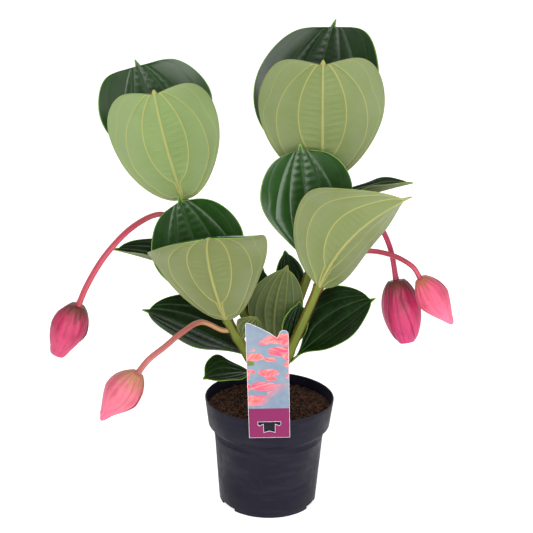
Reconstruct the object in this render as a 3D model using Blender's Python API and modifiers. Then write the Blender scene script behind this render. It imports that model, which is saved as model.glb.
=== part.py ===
"""A medinilla, a flowering house plant with broad ribbed leaves and hanging flower buds, in its nursery pot.

The pot stands on z = 0 with its axis on the Z axis. The plant's front faces -Y.
"""

import math
from dataclasses import dataclass

import bmesh
import bpy
import numpy as np
from mathutils import Matrix, Vector

# Pot: a thin plastic nursery pot, 17 cm across its rim
POT_HEIGHT = 0.145
RIM_RADIUS = 0.085
COLLAR_HEIGHT = 0.037
COLLAR_BASE_RADIUS = 0.0802
BODY_TOP_DROP = 0.044
BODY_TOP_RADIUS = 0.0725
FOOT_RADIUS = 0.0647
POT_WALL = 0.0016
POT_FLOOR = 0.002
POT_STEPS = 48
NOTCH_ANGLES = (-24.0, 96.0, 216.0)
NOTCH_SPAN = 25.0
NOTCH_HEIGHT = 0.0045

# Soil: peat that fills the pot to a little below its rim
SOIL_DROP = 0.013
SOIL_LUMP = 0.0022
SOIL_MOUND = 0.004
GAP = 0.0004

# Stems: a short trunk that forks into four stems with four angles, each ending at a pair of leaves
TRUNK_SINK = 0.030
TRUNK_RADIUS = 0.0085
STEM_RADIUS = 0.0070
FORK = (-0.002, 0.004, 0.152)
STEMS = {
    "left_front": ((-0.018, 0.000, 0.180), (-0.033, -0.002, 0.208), (-0.061, 0.000, 0.257)),
    "left_back": (
        (-0.010, 0.022, 0.184),
        (-0.024, 0.034, 0.222),
        (-0.066, 0.050, 0.298),
        (-0.102, 0.054, 0.358),
        (-0.120, 0.050, 0.405),
    ),
    "right_front": ((0.012, 0.001, 0.180), (0.026, 0.000, 0.210), (0.050, 0.000, 0.270), (0.062, 0.000, 0.304)),
    "right_back": (
        (0.006, 0.022, 0.184),
        (0.024, 0.038, 0.230),
        (0.052, 0.052, 0.310),
        (0.062, 0.052, 0.370),
        (0.063, 0.050, 0.433),
    ),
}

# Leaves: blades with seven arching veins that meet at both ends
BLADE_THICKNESS = 0.0008
LEAF_START = 0.0018
VEINS = (0.36, 0.70)
BASE_WIDTH = 0.009
TIP_WIDTH = 0.0016
DRIP_TIP_START = 0.95
DRIP_TIP_WIDTH = 0.008
LOBE_GAIN = 1.6
RIB_STEPS = 80

# Flower stalks and closed buds
STALK_RADIUS = 0.0037
STALK_START = 0.0022
STALK_COLLAR = 0.008
BUD_NECK_RADIUS = 0.0046
BUD_RINGS = (0.0, 0.05, 0.13, 0.25, 0.38, 0.51, 0.63, 0.74, 0.83, 0.90, 0.95, 1.0)
BRACT_SPAN = 68.0
BRACT_TIP = 0.95
BRACT_LIFT = 0.0019
BRACT_CREST = 0.0009
BRACT_EDGE = 4.0
BRACT_LEAST_SPAN = 14.0

# Label: a card clipped over the rim by a tab cut from its own middle
CARD_THICKNESS = 0.0006
CARD_LEAN = 6.0
CARD_TILT = -2.4
CARD_OUTLINE = (
    (-0.0255, -0.0225), (0.0255, -0.0225), (0.0258, 0.1190), (0.0250, 0.1225), (0.0225, 0.1247),
    (0.0185, 0.1250), (0.0155, 0.1230), (0.0140, 0.1190), (0.0120, 0.1150), (0.0050, 0.1205),
    (-0.0020, 0.1250), (-0.0110, 0.1300), (-0.0200, 0.1345), (-0.0240, 0.1355), (-0.0258, 0.1335),
)
CARD_WINDOW = (
    (-0.0142, 0.0), (-0.0142, -0.0035), (-0.0125, -0.0055), (-0.0070, -0.0030), (-0.0070, -0.0150),
    (0.0, -0.0128), (0.0070, -0.0150), (0.0070, -0.0030), (0.0125, -0.0055), (0.0142, -0.0035), (0.0142, 0.0),
)
TAB_WIDTH = 0.014
FLAP_WIDTH = 0.022
FLAP_DROP = 0.0095
TAB_CLEARANCE = 0.0022


@dataclass(frozen=True)
class Leaf:
    """One blade. Angles are in degrees; heading 0 points along +X and -90 towards the front."""

    name: str
    stem: str
    height: float
    heading: float
    rise: tuple
    length: float
    width: float
    sweep: float = 0.0
    lean: float = 0.0
    roll: tuple = (0.0, 0.0)
    fold: float = 8.0
    cup: tuple = (30.0, 20.0, 20.0)
    widest: float = 0.56
    blunt: tuple = (0.8, 0.6)
    shoulder: float = 0.0
    lobe: float = 0.0
    bow: float = 0.0
    wave: float = 0.002
    waves: float = 2.0
    phase: float = 0.0
    ridge: float = 0.0016
    bend: float = 1.0
    small: bool = False


@dataclass(frozen=True)
class Flower:
    """A closed bud on its stalk: the stalk's points after the stem, and the bud's own axis and size."""

    name: str
    stem: str
    height: float
    heading: float
    path: tuple
    tip: tuple
    length: float
    radius: float
    turn: float
    bud_colour: tuple
    stalk_colour: tuple


LEAVES = (
    Leaf("leaf_left_top_front", "left_back", 0.398, -88, (78, 52), 0.168, 0.150, lean=12, cup=(-6, 22, 30),
         widest=0.60, blunt=(0.56, 0.26), lobe=0.030, bow=0.004),
    Leaf("leaf_left_top_back", "left_back", 0.392, 112, (46, 84), 0.198, 0.156, lean=-14, fold=2, cup=(-10, 14, 10),
         widest=0.70, blunt=(1.2, 0.20), shoulder=0.006, bend=0.6, bow=0.008),
    Leaf("leaf_right_top_front", "right_back", 0.426, -90, (78, 52), 0.177, 0.170, lean=3, cup=(0, 22, 30),
         widest=0.58, blunt=(0.60, 0.24), lobe=0.022),
    Leaf("leaf_right_top_back", "right_back", 0.420, 70, (50, 92), 0.216, 0.176, lean=-2, fold=2, cup=(-10, 14, 10),
         widest=0.57, blunt=(0.7, 0.26), shoulder=0.008, bend=0.6, bow=-0.022),
    Leaf("leaf_left_mid_front", "left_front", 0.252, -94, (78, 20), 0.172, 0.150, lean=4, roll=(0, -6),
         cup=(10, 8, -30), widest=0.64, blunt=(0.42, 0.30), lobe=0.020, bend=1.4, bow=0.012, wave=0.0035),
    Leaf("leaf_left_mid_back", "left_front", 0.250, 105, (58, 98), 0.172, 0.126, lean=-20, fold=4,
         cup=(-20, 18, 15), widest=0.64, blunt=(0.9, 0.32), bend=0.7),
    Leaf("leaf_right_mid_front", "right_front", 0.298, -84, (80, 44), 0.188, 0.154, lean=-34, roll=(-10, -34),
         fold=28, cup=(0, 10, 0), widest=0.46, blunt=(0.50, 0.66), bow=0.014, wave=0.003),
    Leaf("leaf_right_mid_back", "right_front", 0.298, 98, (62, 100), 0.184, 0.124, lean=-8, fold=4,
         cup=(-20, 18, 15), widest=0.70, blunt=(0.9, 0.30), bend=0.7),
    Leaf("leaf_left_side_upper", "left_back", 0.280, 180, (24, 12), 0.156, 0.078, roll=(0, 12), fold=24,
         cup=(10, 10, 10), widest=0.62, blunt=(1.4, 0.6)),
    Leaf("leaf_left_side_lower", "left_back", 0.186, 180, (32, 16), 0.165, 0.105, roll=(20, 26),
         widest=0.60, blunt=(1.2, 0.6)),
    Leaf("leaf_left_low", "left_front", 0.178, 218, (18, -4), 0.078, 0.062, roll=(0, 24), small=True),
    Leaf("leaf_right_side_upper", "right_back", 0.388, 0, (22, 14), 0.116, 0.052, fold=25, cup=(10, 10, 10)),
    Leaf("leaf_right_side_lower", "right_front", 0.194, -6, (46, 36), 0.140, 0.108, roll=(-30, -30),
         widest=0.62, blunt=(1.5, 0.5)),
    Leaf("leaf_centre_left", "left_back", 0.236, 80, (70, 84), 0.072, 0.044, lean=12, small=True),
    Leaf("leaf_centre_back", "right_back", 0.255, 100, (70, 84), 0.074, 0.040, lean=-10, small=True),
    Leaf("leaf_centre_olive", "right_back", 0.195, -95, (92, 84), 0.126, 0.072, lean=-5, fold=4,
         cup=(0, -8, 0), bow=0.010, wave=0.001),
    Leaf("leaf_centre_dark", "right_front", 0.206, 96, (90, 88), 0.068, 0.036, lean=12, wave=0.0005, small=True),
    Leaf("leaf_centre_low", "left_front", 0.226, -36, (64, 50), 0.040, 0.034, roll=(30, 50), small=True),
)

FLOWERS = (
    Flower(
        "left_upper", "left_back", 0.366, 200,
        ((-0.145, 0.014, 0.384), (-0.176, -0.022, 0.374), (-0.205, -0.046, 0.345), (-0.226, -0.055, 0.311)),
        (-0.267, -0.055, 0.218), 0.070, 0.0210, 20.0, (0.62, 0.07, 0.10), (0.55, 0.16, 0.17),
    ),
    Flower(
        "left_lower", "left_front", 0.236, 190,
        ((-0.090, -0.012, 0.249), (-0.112, -0.046, 0.246), (-0.131, -0.068, 0.235), (-0.150, -0.080, 0.222)),
        (-0.209, -0.085, 0.144), 0.076, 0.0215, 50.0, (0.66, 0.14, 0.13), (0.55, 0.16, 0.17),
    ),
    Flower(
        "right_inner", "right_back", 0.372, 40,
        ((0.092, 0.078, 0.386), (0.122, 0.082, 0.382), (0.142, 0.068, 0.362), (0.156, 0.052, 0.334)),
        (0.182, 0.030, 0.213), 0.084, 0.0235, 70.0, (0.62, 0.09, 0.15), (0.50, 0.13, 0.20),
    ),
    Flower(
        "right_outer", "right_front", 0.280, 70,
        ((0.082, 0.040, 0.308), (0.117, 0.050, 0.330), (0.152, 0.034, 0.332), (0.179, 0.014, 0.323)),
        (0.235, 0.002, 0.248), 0.074, 0.0190, 10.0, (0.72, 0.16, 0.22), (0.55, 0.10, 0.14),
    ),
)


def clear_scene():
    for obj in list(bpy.data.objects):
        bpy.data.objects.remove(obj, do_unlink=True)


def new_collection(name):
    collection = bpy.data.collections.new(name)
    bpy.context.scene.collection.children.link(collection)
    return collection


def material(name, colour, roughness, metallic=0.0):
    """A plain Principled material in the part's own colour."""
    made = bpy.data.materials.new(name)
    made.use_nodes = True
    shader = made.node_tree.nodes["Principled BSDF"]
    shader.inputs["Base Color"].default_value = (*colour, 1.0)
    shader.inputs["Roughness"].default_value = roughness
    shader.inputs["Metallic"].default_value = metallic
    return made


def add_mesh(name, bm, collection, dressed=None, smooth_angle=None):
    """An object made from a bmesh, which is freed."""
    mesh = bpy.data.meshes.new(name)
    bm.to_mesh(mesh)
    bm.free()
    obj = bpy.data.objects.new(name, mesh)
    collection.objects.link(obj)
    if dressed:
        mesh.materials.append(dressed)
    if smooth_angle is not None:
        mesh.shade_smooth()
        mesh.set_sharp_from_angle(angle=math.radians(smooth_angle))
    return obj


def hide_cutter(obj):
    obj.hide_render = True
    obj.display_type = "WIRE"


def turned(name, profile, collection, dressed, steps):
    """A profile of (radius, height) points turned round the Z axis."""
    bm = bmesh.new()
    points = [bm.verts.new((radius, 0.0, height)) for radius, height in profile]
    for first, second in zip(points, points[1:]):
        bm.edges.new((first, second))
    obj = add_mesh(name, bm, collection, dressed)
    screw = obj.modifiers.new("Turn", "SCREW")
    screw.axis = "Z"
    screw.steps = steps
    screw.render_steps = steps
    screw.use_merge_vertices = True
    screw.merge_threshold = 0.00002
    screw.use_smooth_shade = True
    return obj


def apply_modifiers(obj):
    """Replaces the object's mesh by what its modifiers make of it."""
    graph = bpy.context.evaluated_depsgraph_get()
    made = bpy.data.meshes.new_from_object(obj.evaluated_get(graph))
    obj.modifiers.clear()
    obj.data = made


def join_all(obj, pieces):
    """Fuses every object of the collection into obj, then removes them."""
    union = obj.modifiers.new("Join", "BOOLEAN")
    union.operation = "UNION"
    union.operand_type = "COLLECTION"
    union.collection = pieces
    union.solver = "EXACT"
    bpy.context.view_layer.update()
    apply_modifiers(obj)
    for piece in list(pieces.objects):
        bpy.data.objects.remove(piece, do_unlink=True)
    bpy.data.collections.remove(pieces)


def body_radius(height):
    """Outer radius of the pot's tapered body."""
    body_top = POT_HEIGHT - BODY_TOP_DROP
    return FOOT_RADIUS + (BODY_TOP_RADIUS - FOOT_RADIUS) * height / body_top


def collar_radius(height):
    """Outer radius of the collar round the rim."""
    drop = (POT_HEIGHT - height) / COLLAR_HEIGHT
    return RIM_RADIUS + (COLLAR_BASE_RADIUS - RIM_RADIUS) * drop


def inner_profile(inset, bottom, top):
    """The pot's inner side from bottom up to top, moved inwards by inset."""
    body_top = POT_HEIGHT - BODY_TOP_DROP
    collar_foot = POT_HEIGHT - COLLAR_HEIGHT
    return (
        (body_radius(bottom) - POT_WALL - inset, bottom),
        (BODY_TOP_RADIUS - POT_WALL - inset, body_top + POT_WALL),
        (COLLAR_BASE_RADIUS - POT_WALL - inset, collar_foot + POT_WALL),
        (collar_radius(top) - POT_WALL - inset, top),
    )


def make_pot(parts, cutters):
    plastic = material("black_plastic", (0.028, 0.028, 0.038), 0.5)
    lip = 0.0005
    profile = (
        (0.0, POT_FLOOR),
        *inner_profile(0.0, POT_FLOOR, POT_HEIGHT - lip),
        (RIM_RADIUS - POT_WALL + lip, POT_HEIGHT),
        (RIM_RADIUS - lip, POT_HEIGHT),
        (RIM_RADIUS, POT_HEIGHT - lip),
        (COLLAR_BASE_RADIUS, POT_HEIGHT - COLLAR_HEIGHT),
        (BODY_TOP_RADIUS, POT_HEIGHT - BODY_TOP_DROP),
        (FOOT_RADIUS, 0.0015),
        (FOOT_RADIUS - 0.0012, 0.0),
        (0.0, 0.0),
    )
    pot = turned("pot", profile, parts, plastic, POT_STEPS)
    reach = 0.024
    for index, angle in enumerate(NOTCH_ANGLES):
        bm = bmesh.new()
        bmesh.ops.create_cube(bm, size=1.0)
        width = 2 * FOOT_RADIUS * math.sin(math.radians(NOTCH_SPAN / 2))
        bmesh.ops.scale(bm, vec=(reach, width, 2 * NOTCH_HEIGHT), verts=bm.verts)
        bmesh.ops.translate(bm, vec=(FOOT_RADIUS - 0.002, 0.0, 0.0), verts=bm.verts)
        turn = Matrix.Rotation(math.radians(angle), 4, "Z")
        bmesh.ops.transform(bm, matrix=turn, verts=bm.verts)
        cutter = add_mesh(f"drain_cutter_{index}", bm, cutters)
        hide_cutter(cutter)
        cut = pot.modifiers.new(f"Drain {index}", "BOOLEAN")
        cut.operation = "DIFFERENCE"
        cut.object = cutter
    return pot


def soil_lumps(x, y):
    """Height of the crumbs above the mean soil, from waves that don't repeat inside the pot."""
    waves = (
        np.sin(310 * x + 1.3) * np.cos(270 * y + 0.4)
        + 0.7 * np.sin(480 * x - 390 * y + 2.1)
        + 0.6 * np.cos(150 * x + 220 * y)
    )
    return SOIL_LUMP * waves / 2.3


def make_soil(parts, cutters):
    """A solid filling of the pot with a lumpy, slightly mounded top."""
    peat = material("peat", (0.060, 0.030, 0.018), 0.95)
    surface = POT_HEIGHT - SOIL_DROP
    bottom = POT_FLOOR + GAP
    sides = 32
    edge = inner_profile(GAP, bottom, surface)
    rings = [(radius, height, False) for radius, height in edge]
    top_radius = edge[-1][0]
    rings += [(top_radius * share, surface, True) for share in (0.88, 0.74, 0.6, 0.46, 0.32, 0.18)]
    bm = bmesh.new()
    loops = []
    for radius, height, raised in rings:
        loop = []
        for side in range(sides):
            angle = 2 * math.pi * side / sides
            x, y = radius * math.cos(angle), radius * math.sin(angle)
            mound = SOIL_MOUND * (1 - radius / top_radius) if raised else 0.0
            lump = float(soil_lumps(x, y)) if raised else 0.0
            loop.append(bm.verts.new((x, y, height + mound + lump)))
        loops.append(loop)
    for lower, upper in zip(loops, loops[1:]):
        for side in range(sides):
            after = (side + 1) % sides
            bm.faces.new((lower[side], lower[after], upper[after], upper[side]))
    bm.faces.new(list(reversed(loops[0])))
    bm.faces.new(loops[-1])
    bmesh.ops.triangulate(bm, faces=bm.faces)
    bmesh.ops.recalc_face_normals(bm, faces=bm.faces)
    soil = add_mesh("soil", bm, parts, peat, smooth_angle=50)
    bm = bmesh.new()
    depth = TRUNK_SINK + GAP
    hole_radius = TRUNK_RADIUS + GAP
    bmesh.ops.create_cone(
        bm, cap_ends=True, segments=12, radius1=hole_radius, radius2=hole_radius, depth=2 * depth
    )
    bmesh.ops.translate(bm, vec=(FORK[0], FORK[1], surface + SOIL_MOUND), verts=bm.verts)
    hole = add_mesh("trunk_hole_cutter", bm, cutters)
    hide_cutter(hole)
    cut = soil.modifiers.new("Trunk hole", "BOOLEAN")
    cut.operation = "DIFFERENCE"
    cut.object = hole
    return soil


def smooth_path(points, steps):
    """Points of a smooth curve through the given ones, with steps stretches between each two."""
    points = [Vector(point) for point in points]
    ends = [2 * points[0] - points[1], *points, 2 * points[-1] - points[-2]]
    path = []
    for before, start, end, after in zip(ends, ends[1:], ends[2:], ends[3:]):
        for step in range(steps):
            t = step / steps
            path.append(
                0.5
                * (
                    2 * start
                    + (end - before) * t
                    + (2 * before - 5 * start + 4 * end - after) * t**2
                    + (3 * start - before - 3 * end + after) * t**3
                )
            )
    path.append(points[-1])
    return path


def tube(name, path, radii, collection, dressed=None, resolution=0):
    """A closed mesh tube along the path. Resolution 0 gives it four angles, as on a winged stem."""
    curve = bpy.data.curves.new(name, "CURVE")
    curve.dimensions = "3D"
    curve.bevel_depth = 1.0
    curve.bevel_resolution = resolution
    curve.use_fill_caps = True
    spline = curve.splines.new("POLY")
    spline.points.add(len(path) - 1)
    for point, place, radius in zip(spline.points, path, radii):
        point.co = (*place, 1.0)
        point.radius = radius
    guide = bpy.data.objects.new(name + "_guide", curve)
    collection.objects.link(guide)
    graph = bpy.context.evaluated_depsgraph_get()
    mesh = bpy.data.meshes.new_from_object(guide.evaluated_get(graph))
    bpy.data.objects.remove(guide, do_unlink=True)
    bm = bmesh.new()
    bm.from_mesh(mesh)
    bpy.data.meshes.remove(mesh)
    bmesh.ops.remove_doubles(bm, verts=bm.verts, dist=0.00001)
    bmesh.ops.recalc_face_normals(bm, faces=bm.faces)
    return add_mesh(name, bm, collection, dressed, smooth_angle=40)


def stem_path(stem):
    """The centre line of one stem, from the fork to its last pair of leaves."""
    return smooth_path((FORK, *STEMS[stem]), 3)


def stem_radius(height):
    """Stems grow slimmer with height."""
    return STEM_RADIUS * (1.0 - 0.9 * max(0.0, height - 0.16))


def make_stem(parts):
    green = material("green_stem", (0.16, 0.24, 0.03), 0.5)
    bottom = POT_HEIGHT - SOIL_DROP + SOIL_MOUND - TRUNK_SINK
    trunk_path = smooth_path(((FORK[0], FORK[1], bottom), FORK, (FORK[0], FORK[1], FORK[2] + 0.006)), 2)
    stem = tube("stem", trunk_path, [TRUNK_RADIUS] * len(trunk_path), parts, green, resolution=2)
    pieces = new_collection("stem_pieces")
    for name in STEMS:
        path = stem_path(name)
        tube(name + "_stem", path, [stem_radius(place.z) for place in path], pieces)
    join_all(stem, pieces)
    return stem


def beside_stem(stem, height, heading, clear):
    """A point beside a stem at this height, on the side that the heading names."""
    path = stem_path(stem)
    for lower, upper in zip(path, path[1:]):
        if lower.z <= height <= upper.z:
            share = (height - lower.z) / (upper.z - lower.z)
            centre = lower.lerp(upper, share)
            break
    else:
        centre = path[-1]
    out = stem_radius(height) + clear
    turn = math.radians(heading)
    return np.array((centre.x + out * math.cos(turn), centre.y + out * math.sin(turn), height))


def bent_strip(distance, start, bend):
    """Across and up offsets after a share of a strip that starts at one slope and bends evenly."""
    bend = np.where(np.abs(bend) < 1e-4, 1e-4, bend)
    end = start + bend * distance
    return (np.sin(end) - np.sin(start)) / bend, (np.cos(start) - np.cos(end)) / bend


def blade_points(leaf, rows, columns):
    """The blade's middle surface: rows run from stem to tip, columns from one edge to the other."""
    fine = np.linspace(0.0, 1.0, RIB_STEPS + 1)
    pitch = np.radians(leaf.rise[0] + (leaf.rise[1] - leaf.rise[0]) * fine**leaf.bend)
    turn = np.radians(leaf.heading + leaf.sweep * fine)
    along = np.stack([np.cos(turn) * np.cos(pitch), np.sin(turn) * np.cos(pitch), np.sin(pitch)], -1)
    steps = 0.5 * (along[1:] + along[:-1]) * leaf.length / RIB_STEPS
    root_point = beside_stem(leaf.stem, leaf.height, leaf.heading, LEAF_START)
    rib = root_point + np.concatenate([np.zeros((1, 3)), np.cumsum(steps, axis=0)])
    u = np.asarray(rows)[:, None]
    v = np.asarray(columns)[None, :]
    at = np.asarray(rows)

    def read(values):
        return np.stack([np.interp(at, fine, values[:, k]) for k in range(3)], -1)

    centre, ahead = read(rib), read(along)
    ahead /= np.linalg.norm(ahead, axis=1, keepdims=True)
    heading = np.interp(at, fine, turn)
    side = np.stack([np.sin(heading), -np.cos(heading), np.zeros_like(heading)], -1)
    face = np.cross(side, ahead)
    roll = np.radians(leaf.roll[0] + (leaf.roll[1] - leaf.roll[0]) * at)[:, None]
    side, face = side * np.cos(roll) + face * np.sin(roll), face * np.cos(roll) - side * np.sin(roll)

    power = math.log(0.5) / math.log(leaf.widest)
    outline = np.sin(np.pi * np.clip(at / DRIP_TIP_START, 0.0, 1.0) ** power).clip(0.0, 1.0)
    outline = outline ** (leaf.blunt[0] + (leaf.blunt[1] - leaf.blunt[0]) * at)
    drip = (DRIP_TIP_WIDTH - TIP_WIDTH) * np.clip((1.0 - at) / (1.0 - DRIP_TIP_START), 0.0, 1.0) + TIP_WIDTH
    root = BASE_WIDTH * np.exp(-at / 0.05)
    half = 0.5 * np.maximum(leaf.width * outline, np.maximum(drip * (at > 0.5), root))[:, None]

    bend = np.radians(
        leaf.cup[0] * (1 - at) * (1 - 2 * at) + leaf.cup[1] * 4 * at * (1 - at) + leaf.cup[2] * at * (2 * at - 1)
    )[:, None]
    out, up = bent_strip(np.abs(v), math.radians(leaf.fold), bend)
    out, up = out * half * np.sign(v), up * half
    edge = np.abs(v) ** 3
    narrowing = 2 * half / leaf.width
    ripple = np.sin(2 * np.pi * (leaf.waves * u + leaf.phase + 0.23 * np.sign(v)))
    up = up + narrowing * (leaf.wave * edge * ripple + leaf.ridge * pillow(np.abs(v)))
    back = v**2 * narrowing * (leaf.shoulder * u**3 - leaf.lobe * LOBE_GAIN * (1 - u) ** 4)
    places = (
        centre[:, None, :]
        + side[:, None, :] * (out + leaf.bow * 4 * u * (1 - u))[..., None]
        + face[:, None, :] * up[..., None]
        + ahead[:, None, :] * back[..., None]
    )
    axis = Vector((math.cos(math.radians(leaf.heading)), math.sin(math.radians(leaf.heading)), 0.0))
    turned_by = np.array(Matrix.Rotation(math.radians(leaf.lean), 3, axis))
    return (places - root_point) @ turned_by.T + root_point


def pillow(v):
    """How far the blade stands up between its veins: 0 on a vein, 1 half way to the next."""
    lines = (0.0, *VEINS, 1.0)
    raised = np.zeros_like(v)
    for near, far in zip(lines, lines[1:]):
        share = np.clip((v - near) / (far - near), 0.0, 1.0)
        raised = raised + np.sin(np.pi * share) * (far < 1.0 or 0.6)
    return raised


def leaf_columns(leaf):
    """Lines along the blade: its midrib, its veins, its edges and one line between each two."""
    if leaf.small:
        half = (0.0, 0.36, 0.72, 1.0)
    else:
        half = (0.0, 0.18, 0.36, 0.53, 0.70, 1.0)
    return tuple(-v for v in reversed(half[1:])) + half


def leaf_rows(leaf):
    if leaf.small:
        return (0.0, 0.08, 0.24, 0.44, 0.64, 0.82, 0.94, 1.0)
    return (0.0, 0.03, 0.10, 0.22, 0.38, 0.55, 0.71, 0.84, 0.94, 1.0)


def make_leaf(leaf, parts, green):
    grid = blade_points(leaf, leaf_rows(leaf), leaf_columns(leaf))
    bm = bmesh.new()
    verts = [[bm.verts.new(place) for place in row] for row in grid]
    for lower, upper in zip(verts, verts[1:]):
        for k in range(len(lower) - 1):
            bm.faces.new((lower[k], lower[k + 1], upper[k + 1], upper[k]))
    bmesh.ops.triangulate(bm, faces=bm.faces)
    obj = add_mesh(leaf.name, bm, parts, green, smooth_angle=60)
    thick = obj.modifiers.new("Blade", "SOLIDIFY")
    thick.thickness = BLADE_THICKNESS
    thick.offset = 0.0
    return obj


def bud_radius(t, radius):
    """Radius of a closed bud at a share t of its length, from its neck to its tip."""
    belly = math.sin(math.pi * min(1.0, 0.06 + 0.93 * t) ** 0.86) ** 0.85
    neck = BUD_NECK_RADIUS * (1.0 - t) ** 6
    return max(radius * belly, neck, 0.0012)


def bract_span(t):
    """Half the angle, in degrees, that an outer bract covers: it narrows to a point near the bud's tip."""
    share = min(1.0, t / BRACT_TIP)
    span = BRACT_SPAN * math.sqrt(max(0.0, 1.0 - share**3)) * min(1.0, 0.75 + share)
    return max(BRACT_LEAST_SPAN, span)


def bud_ring(flower, t):
    """One ring of the closed bud: two raised outer bracts, and the two inner ones that show between them."""
    radius = bud_radius(t, flower.radius)
    slim = min(1.0, radius / BUD_NECK_RADIUS - 0.2)
    lift = BRACT_LIFT * slim * min(1.0, max(0.0, (BRACT_TIP - t) / 0.04))
    span = bract_span(t)
    inner = 180.0 - 2 * (span + BRACT_EDGE)
    ring = []
    for facing in (0.0, 180.0):
        for share in (-1.0, -0.5, 0.0, 0.5, 1.0):
            crest = BRACT_CREST * slim * math.cos(math.pi * share / 2)
            ring.append((facing + share * span, radius + lift + crest))
        for share in (0.0, 0.25, 0.5, 0.75, 1.0):
            crest = BRACT_CREST * slim * math.sin(math.pi * share)
            ring.append((facing + span + BRACT_EDGE + share * inner, radius + crest))
    return [(math.radians(flower.turn + angle), out) for angle, out in ring]


def make_bud(flower, start, parts):
    """A closed bud of four bracts, raised in two layers from one solid body."""
    pink = material("bud_" + flower.name + "_pink", flower.bud_colour, 0.5)
    bm = bmesh.new()
    loops = []
    for t in BUD_RINGS:
        ring = bud_ring(flower, t)
        loops.append([bm.verts.new((r * math.cos(a), r * math.sin(a), flower.length * t)) for a, r in ring])
    for lower, upper in zip(loops, loops[1:]):
        for k in range(len(lower)):
            after = (k + 1) % len(lower)
            bm.faces.new((lower[k], lower[after], upper[after], upper[k]))
    bm.faces.new(list(reversed(loops[0])))
    bm.faces.new(loops[-1])
    bmesh.ops.triangulate(bm, faces=bm.faces)
    bmesh.ops.recalc_face_normals(bm, faces=bm.faces)
    bud = add_mesh("bud_" + flower.name, bm, parts, pink, smooth_angle=32)
    axis = Vector(flower.tip) - start
    bud.data.transform(Matrix.Translation(start) @ axis.to_track_quat("Z", "Y").to_matrix().to_4x4())
    return bud


def make_flower(flower, parts):
    """The stalk with four angles, and the bud that hangs from its end."""
    pink = material("stalk_" + flower.name + "_pink", flower.stalk_colour, 0.5)
    axis = (Vector(flower.tip) - Vector(flower.path[-1])).normalized()
    neck = Vector(flower.tip) - axis * flower.length
    start = Vector(beside_stem(flower.stem, flower.height, flower.heading, STALK_START))
    collar = Vector(beside_stem(flower.stem, flower.height, flower.heading, STALK_COLLAR))
    path = smooth_path((start, collar, *flower.path, neck - axis * GAP), 4)
    tube("stalk_" + flower.name, path, [STALK_RADIUS] * len(path), parts, pink)
    make_bud(flower, neck, parts)


def outline(name, loops, collection, dressed):
    """A flat plate from closed outlines of (x, z) points; loops after the first are holes."""
    curve = bpy.data.curves.new(name, "CURVE")
    curve.dimensions = "2D"
    curve.fill_mode = "BOTH"
    curve.extrude = CARD_THICKNESS / 2
    for loop in loops:
        spline = curve.splines.new("POLY")
        spline.use_cyclic_u = True
        spline.points.add(len(loop) - 1)
        for point, (x, z) in zip(spline.points, loop):
            point.co = (x, z, 0.0, 1.0)
    guide = bpy.data.objects.new(name + "_guide", curve)
    collection.objects.link(guide)
    graph = bpy.context.evaluated_depsgraph_get()
    mesh = bpy.data.meshes.new_from_object(guide.evaluated_get(graph))
    bpy.data.objects.remove(guide, do_unlink=True)
    bm = bmesh.new()
    bm.from_mesh(mesh)
    bpy.data.meshes.remove(mesh)
    bmesh.ops.remove_doubles(bm, verts=bm.verts, dist=0.00001)
    bmesh.ops.rotate(bm, matrix=Matrix.Rotation(math.pi / 2, 3, "X"), verts=bm.verts)
    bmesh.ops.recalc_face_normals(bm, faces=bm.faces)
    return add_mesh(name, bm, collection, dressed)


def block(name, low, high, collection):
    """A box between two corners."""
    bm = bmesh.new()
    bmesh.ops.create_cube(bm, size=1.0)
    size = Vector(high) - Vector(low)
    bmesh.ops.scale(bm, vec=size, verts=bm.verts)
    bmesh.ops.translate(bm, vec=(Vector(high) + Vector(low)) / 2, verts=bm.verts)
    return add_mesh(name, bm, collection)


def make_label(parts):
    """The card stands against the collar, and its cut-out tab bends over the rim and hangs inside."""
    card = material("label_card", (0.62, 0.16, 0.26), 0.35)
    label = outline("label", (CARD_OUTLINE, CARD_WINDOW), parts, card)
    rest = Vector((0.0, -(RIM_RADIUS + GAP + CARD_THICKNESS / 2), POT_HEIGHT + GAP))
    lean = Matrix.Rotation(math.radians(CARD_LEAN), 4, "X")
    tilt = Matrix.Rotation(math.radians(CARD_TILT), 4, "Y")
    label.data.transform(Matrix.Translation(rest) @ lean @ tilt)
    pieces = new_collection("label_tab")
    inner = -(RIM_RADIUS - POT_WALL - TAB_CLEARANCE)
    back = inner + CARD_THICKNESS
    tab, flap = TAB_WIDTH / 2, FLAP_WIDTH / 2
    block("tab_bridge", (-tab, rest.y, rest.z), (tab, back, rest.z + CARD_THICKNESS), pieces)
    block("tab_flap", (-flap, inner, rest.z - FLAP_DROP), (flap, back, rest.z + CARD_THICKNESS / 2), pieces)
    join_all(label, pieces)
    return label


def main():
    clear_scene()
    parts = new_collection("medinilla")
    cutters = new_collection("cutters")
    make_pot(parts, cutters)
    make_soil(parts, cutters)
    make_stem(parts)
    green = material("leaf_green", (0.05, 0.13, 0.03), 0.35)
    for leaf in LEAVES:
        make_leaf(leaf, parts, green)
    for flower in FLOWERS:
        make_flower(flower, parts)
    make_label(parts)


if __name__ == "__main__":
    main()
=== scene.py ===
"""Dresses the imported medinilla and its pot: blades, stems, stalks, buds, peat, pot and card."""

import logging
import math
from dataclasses import dataclass
from enum import Enum
from itertools import product

import bpy
import numpy as np
from mathutils import Matrix, Vector, noise


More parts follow.
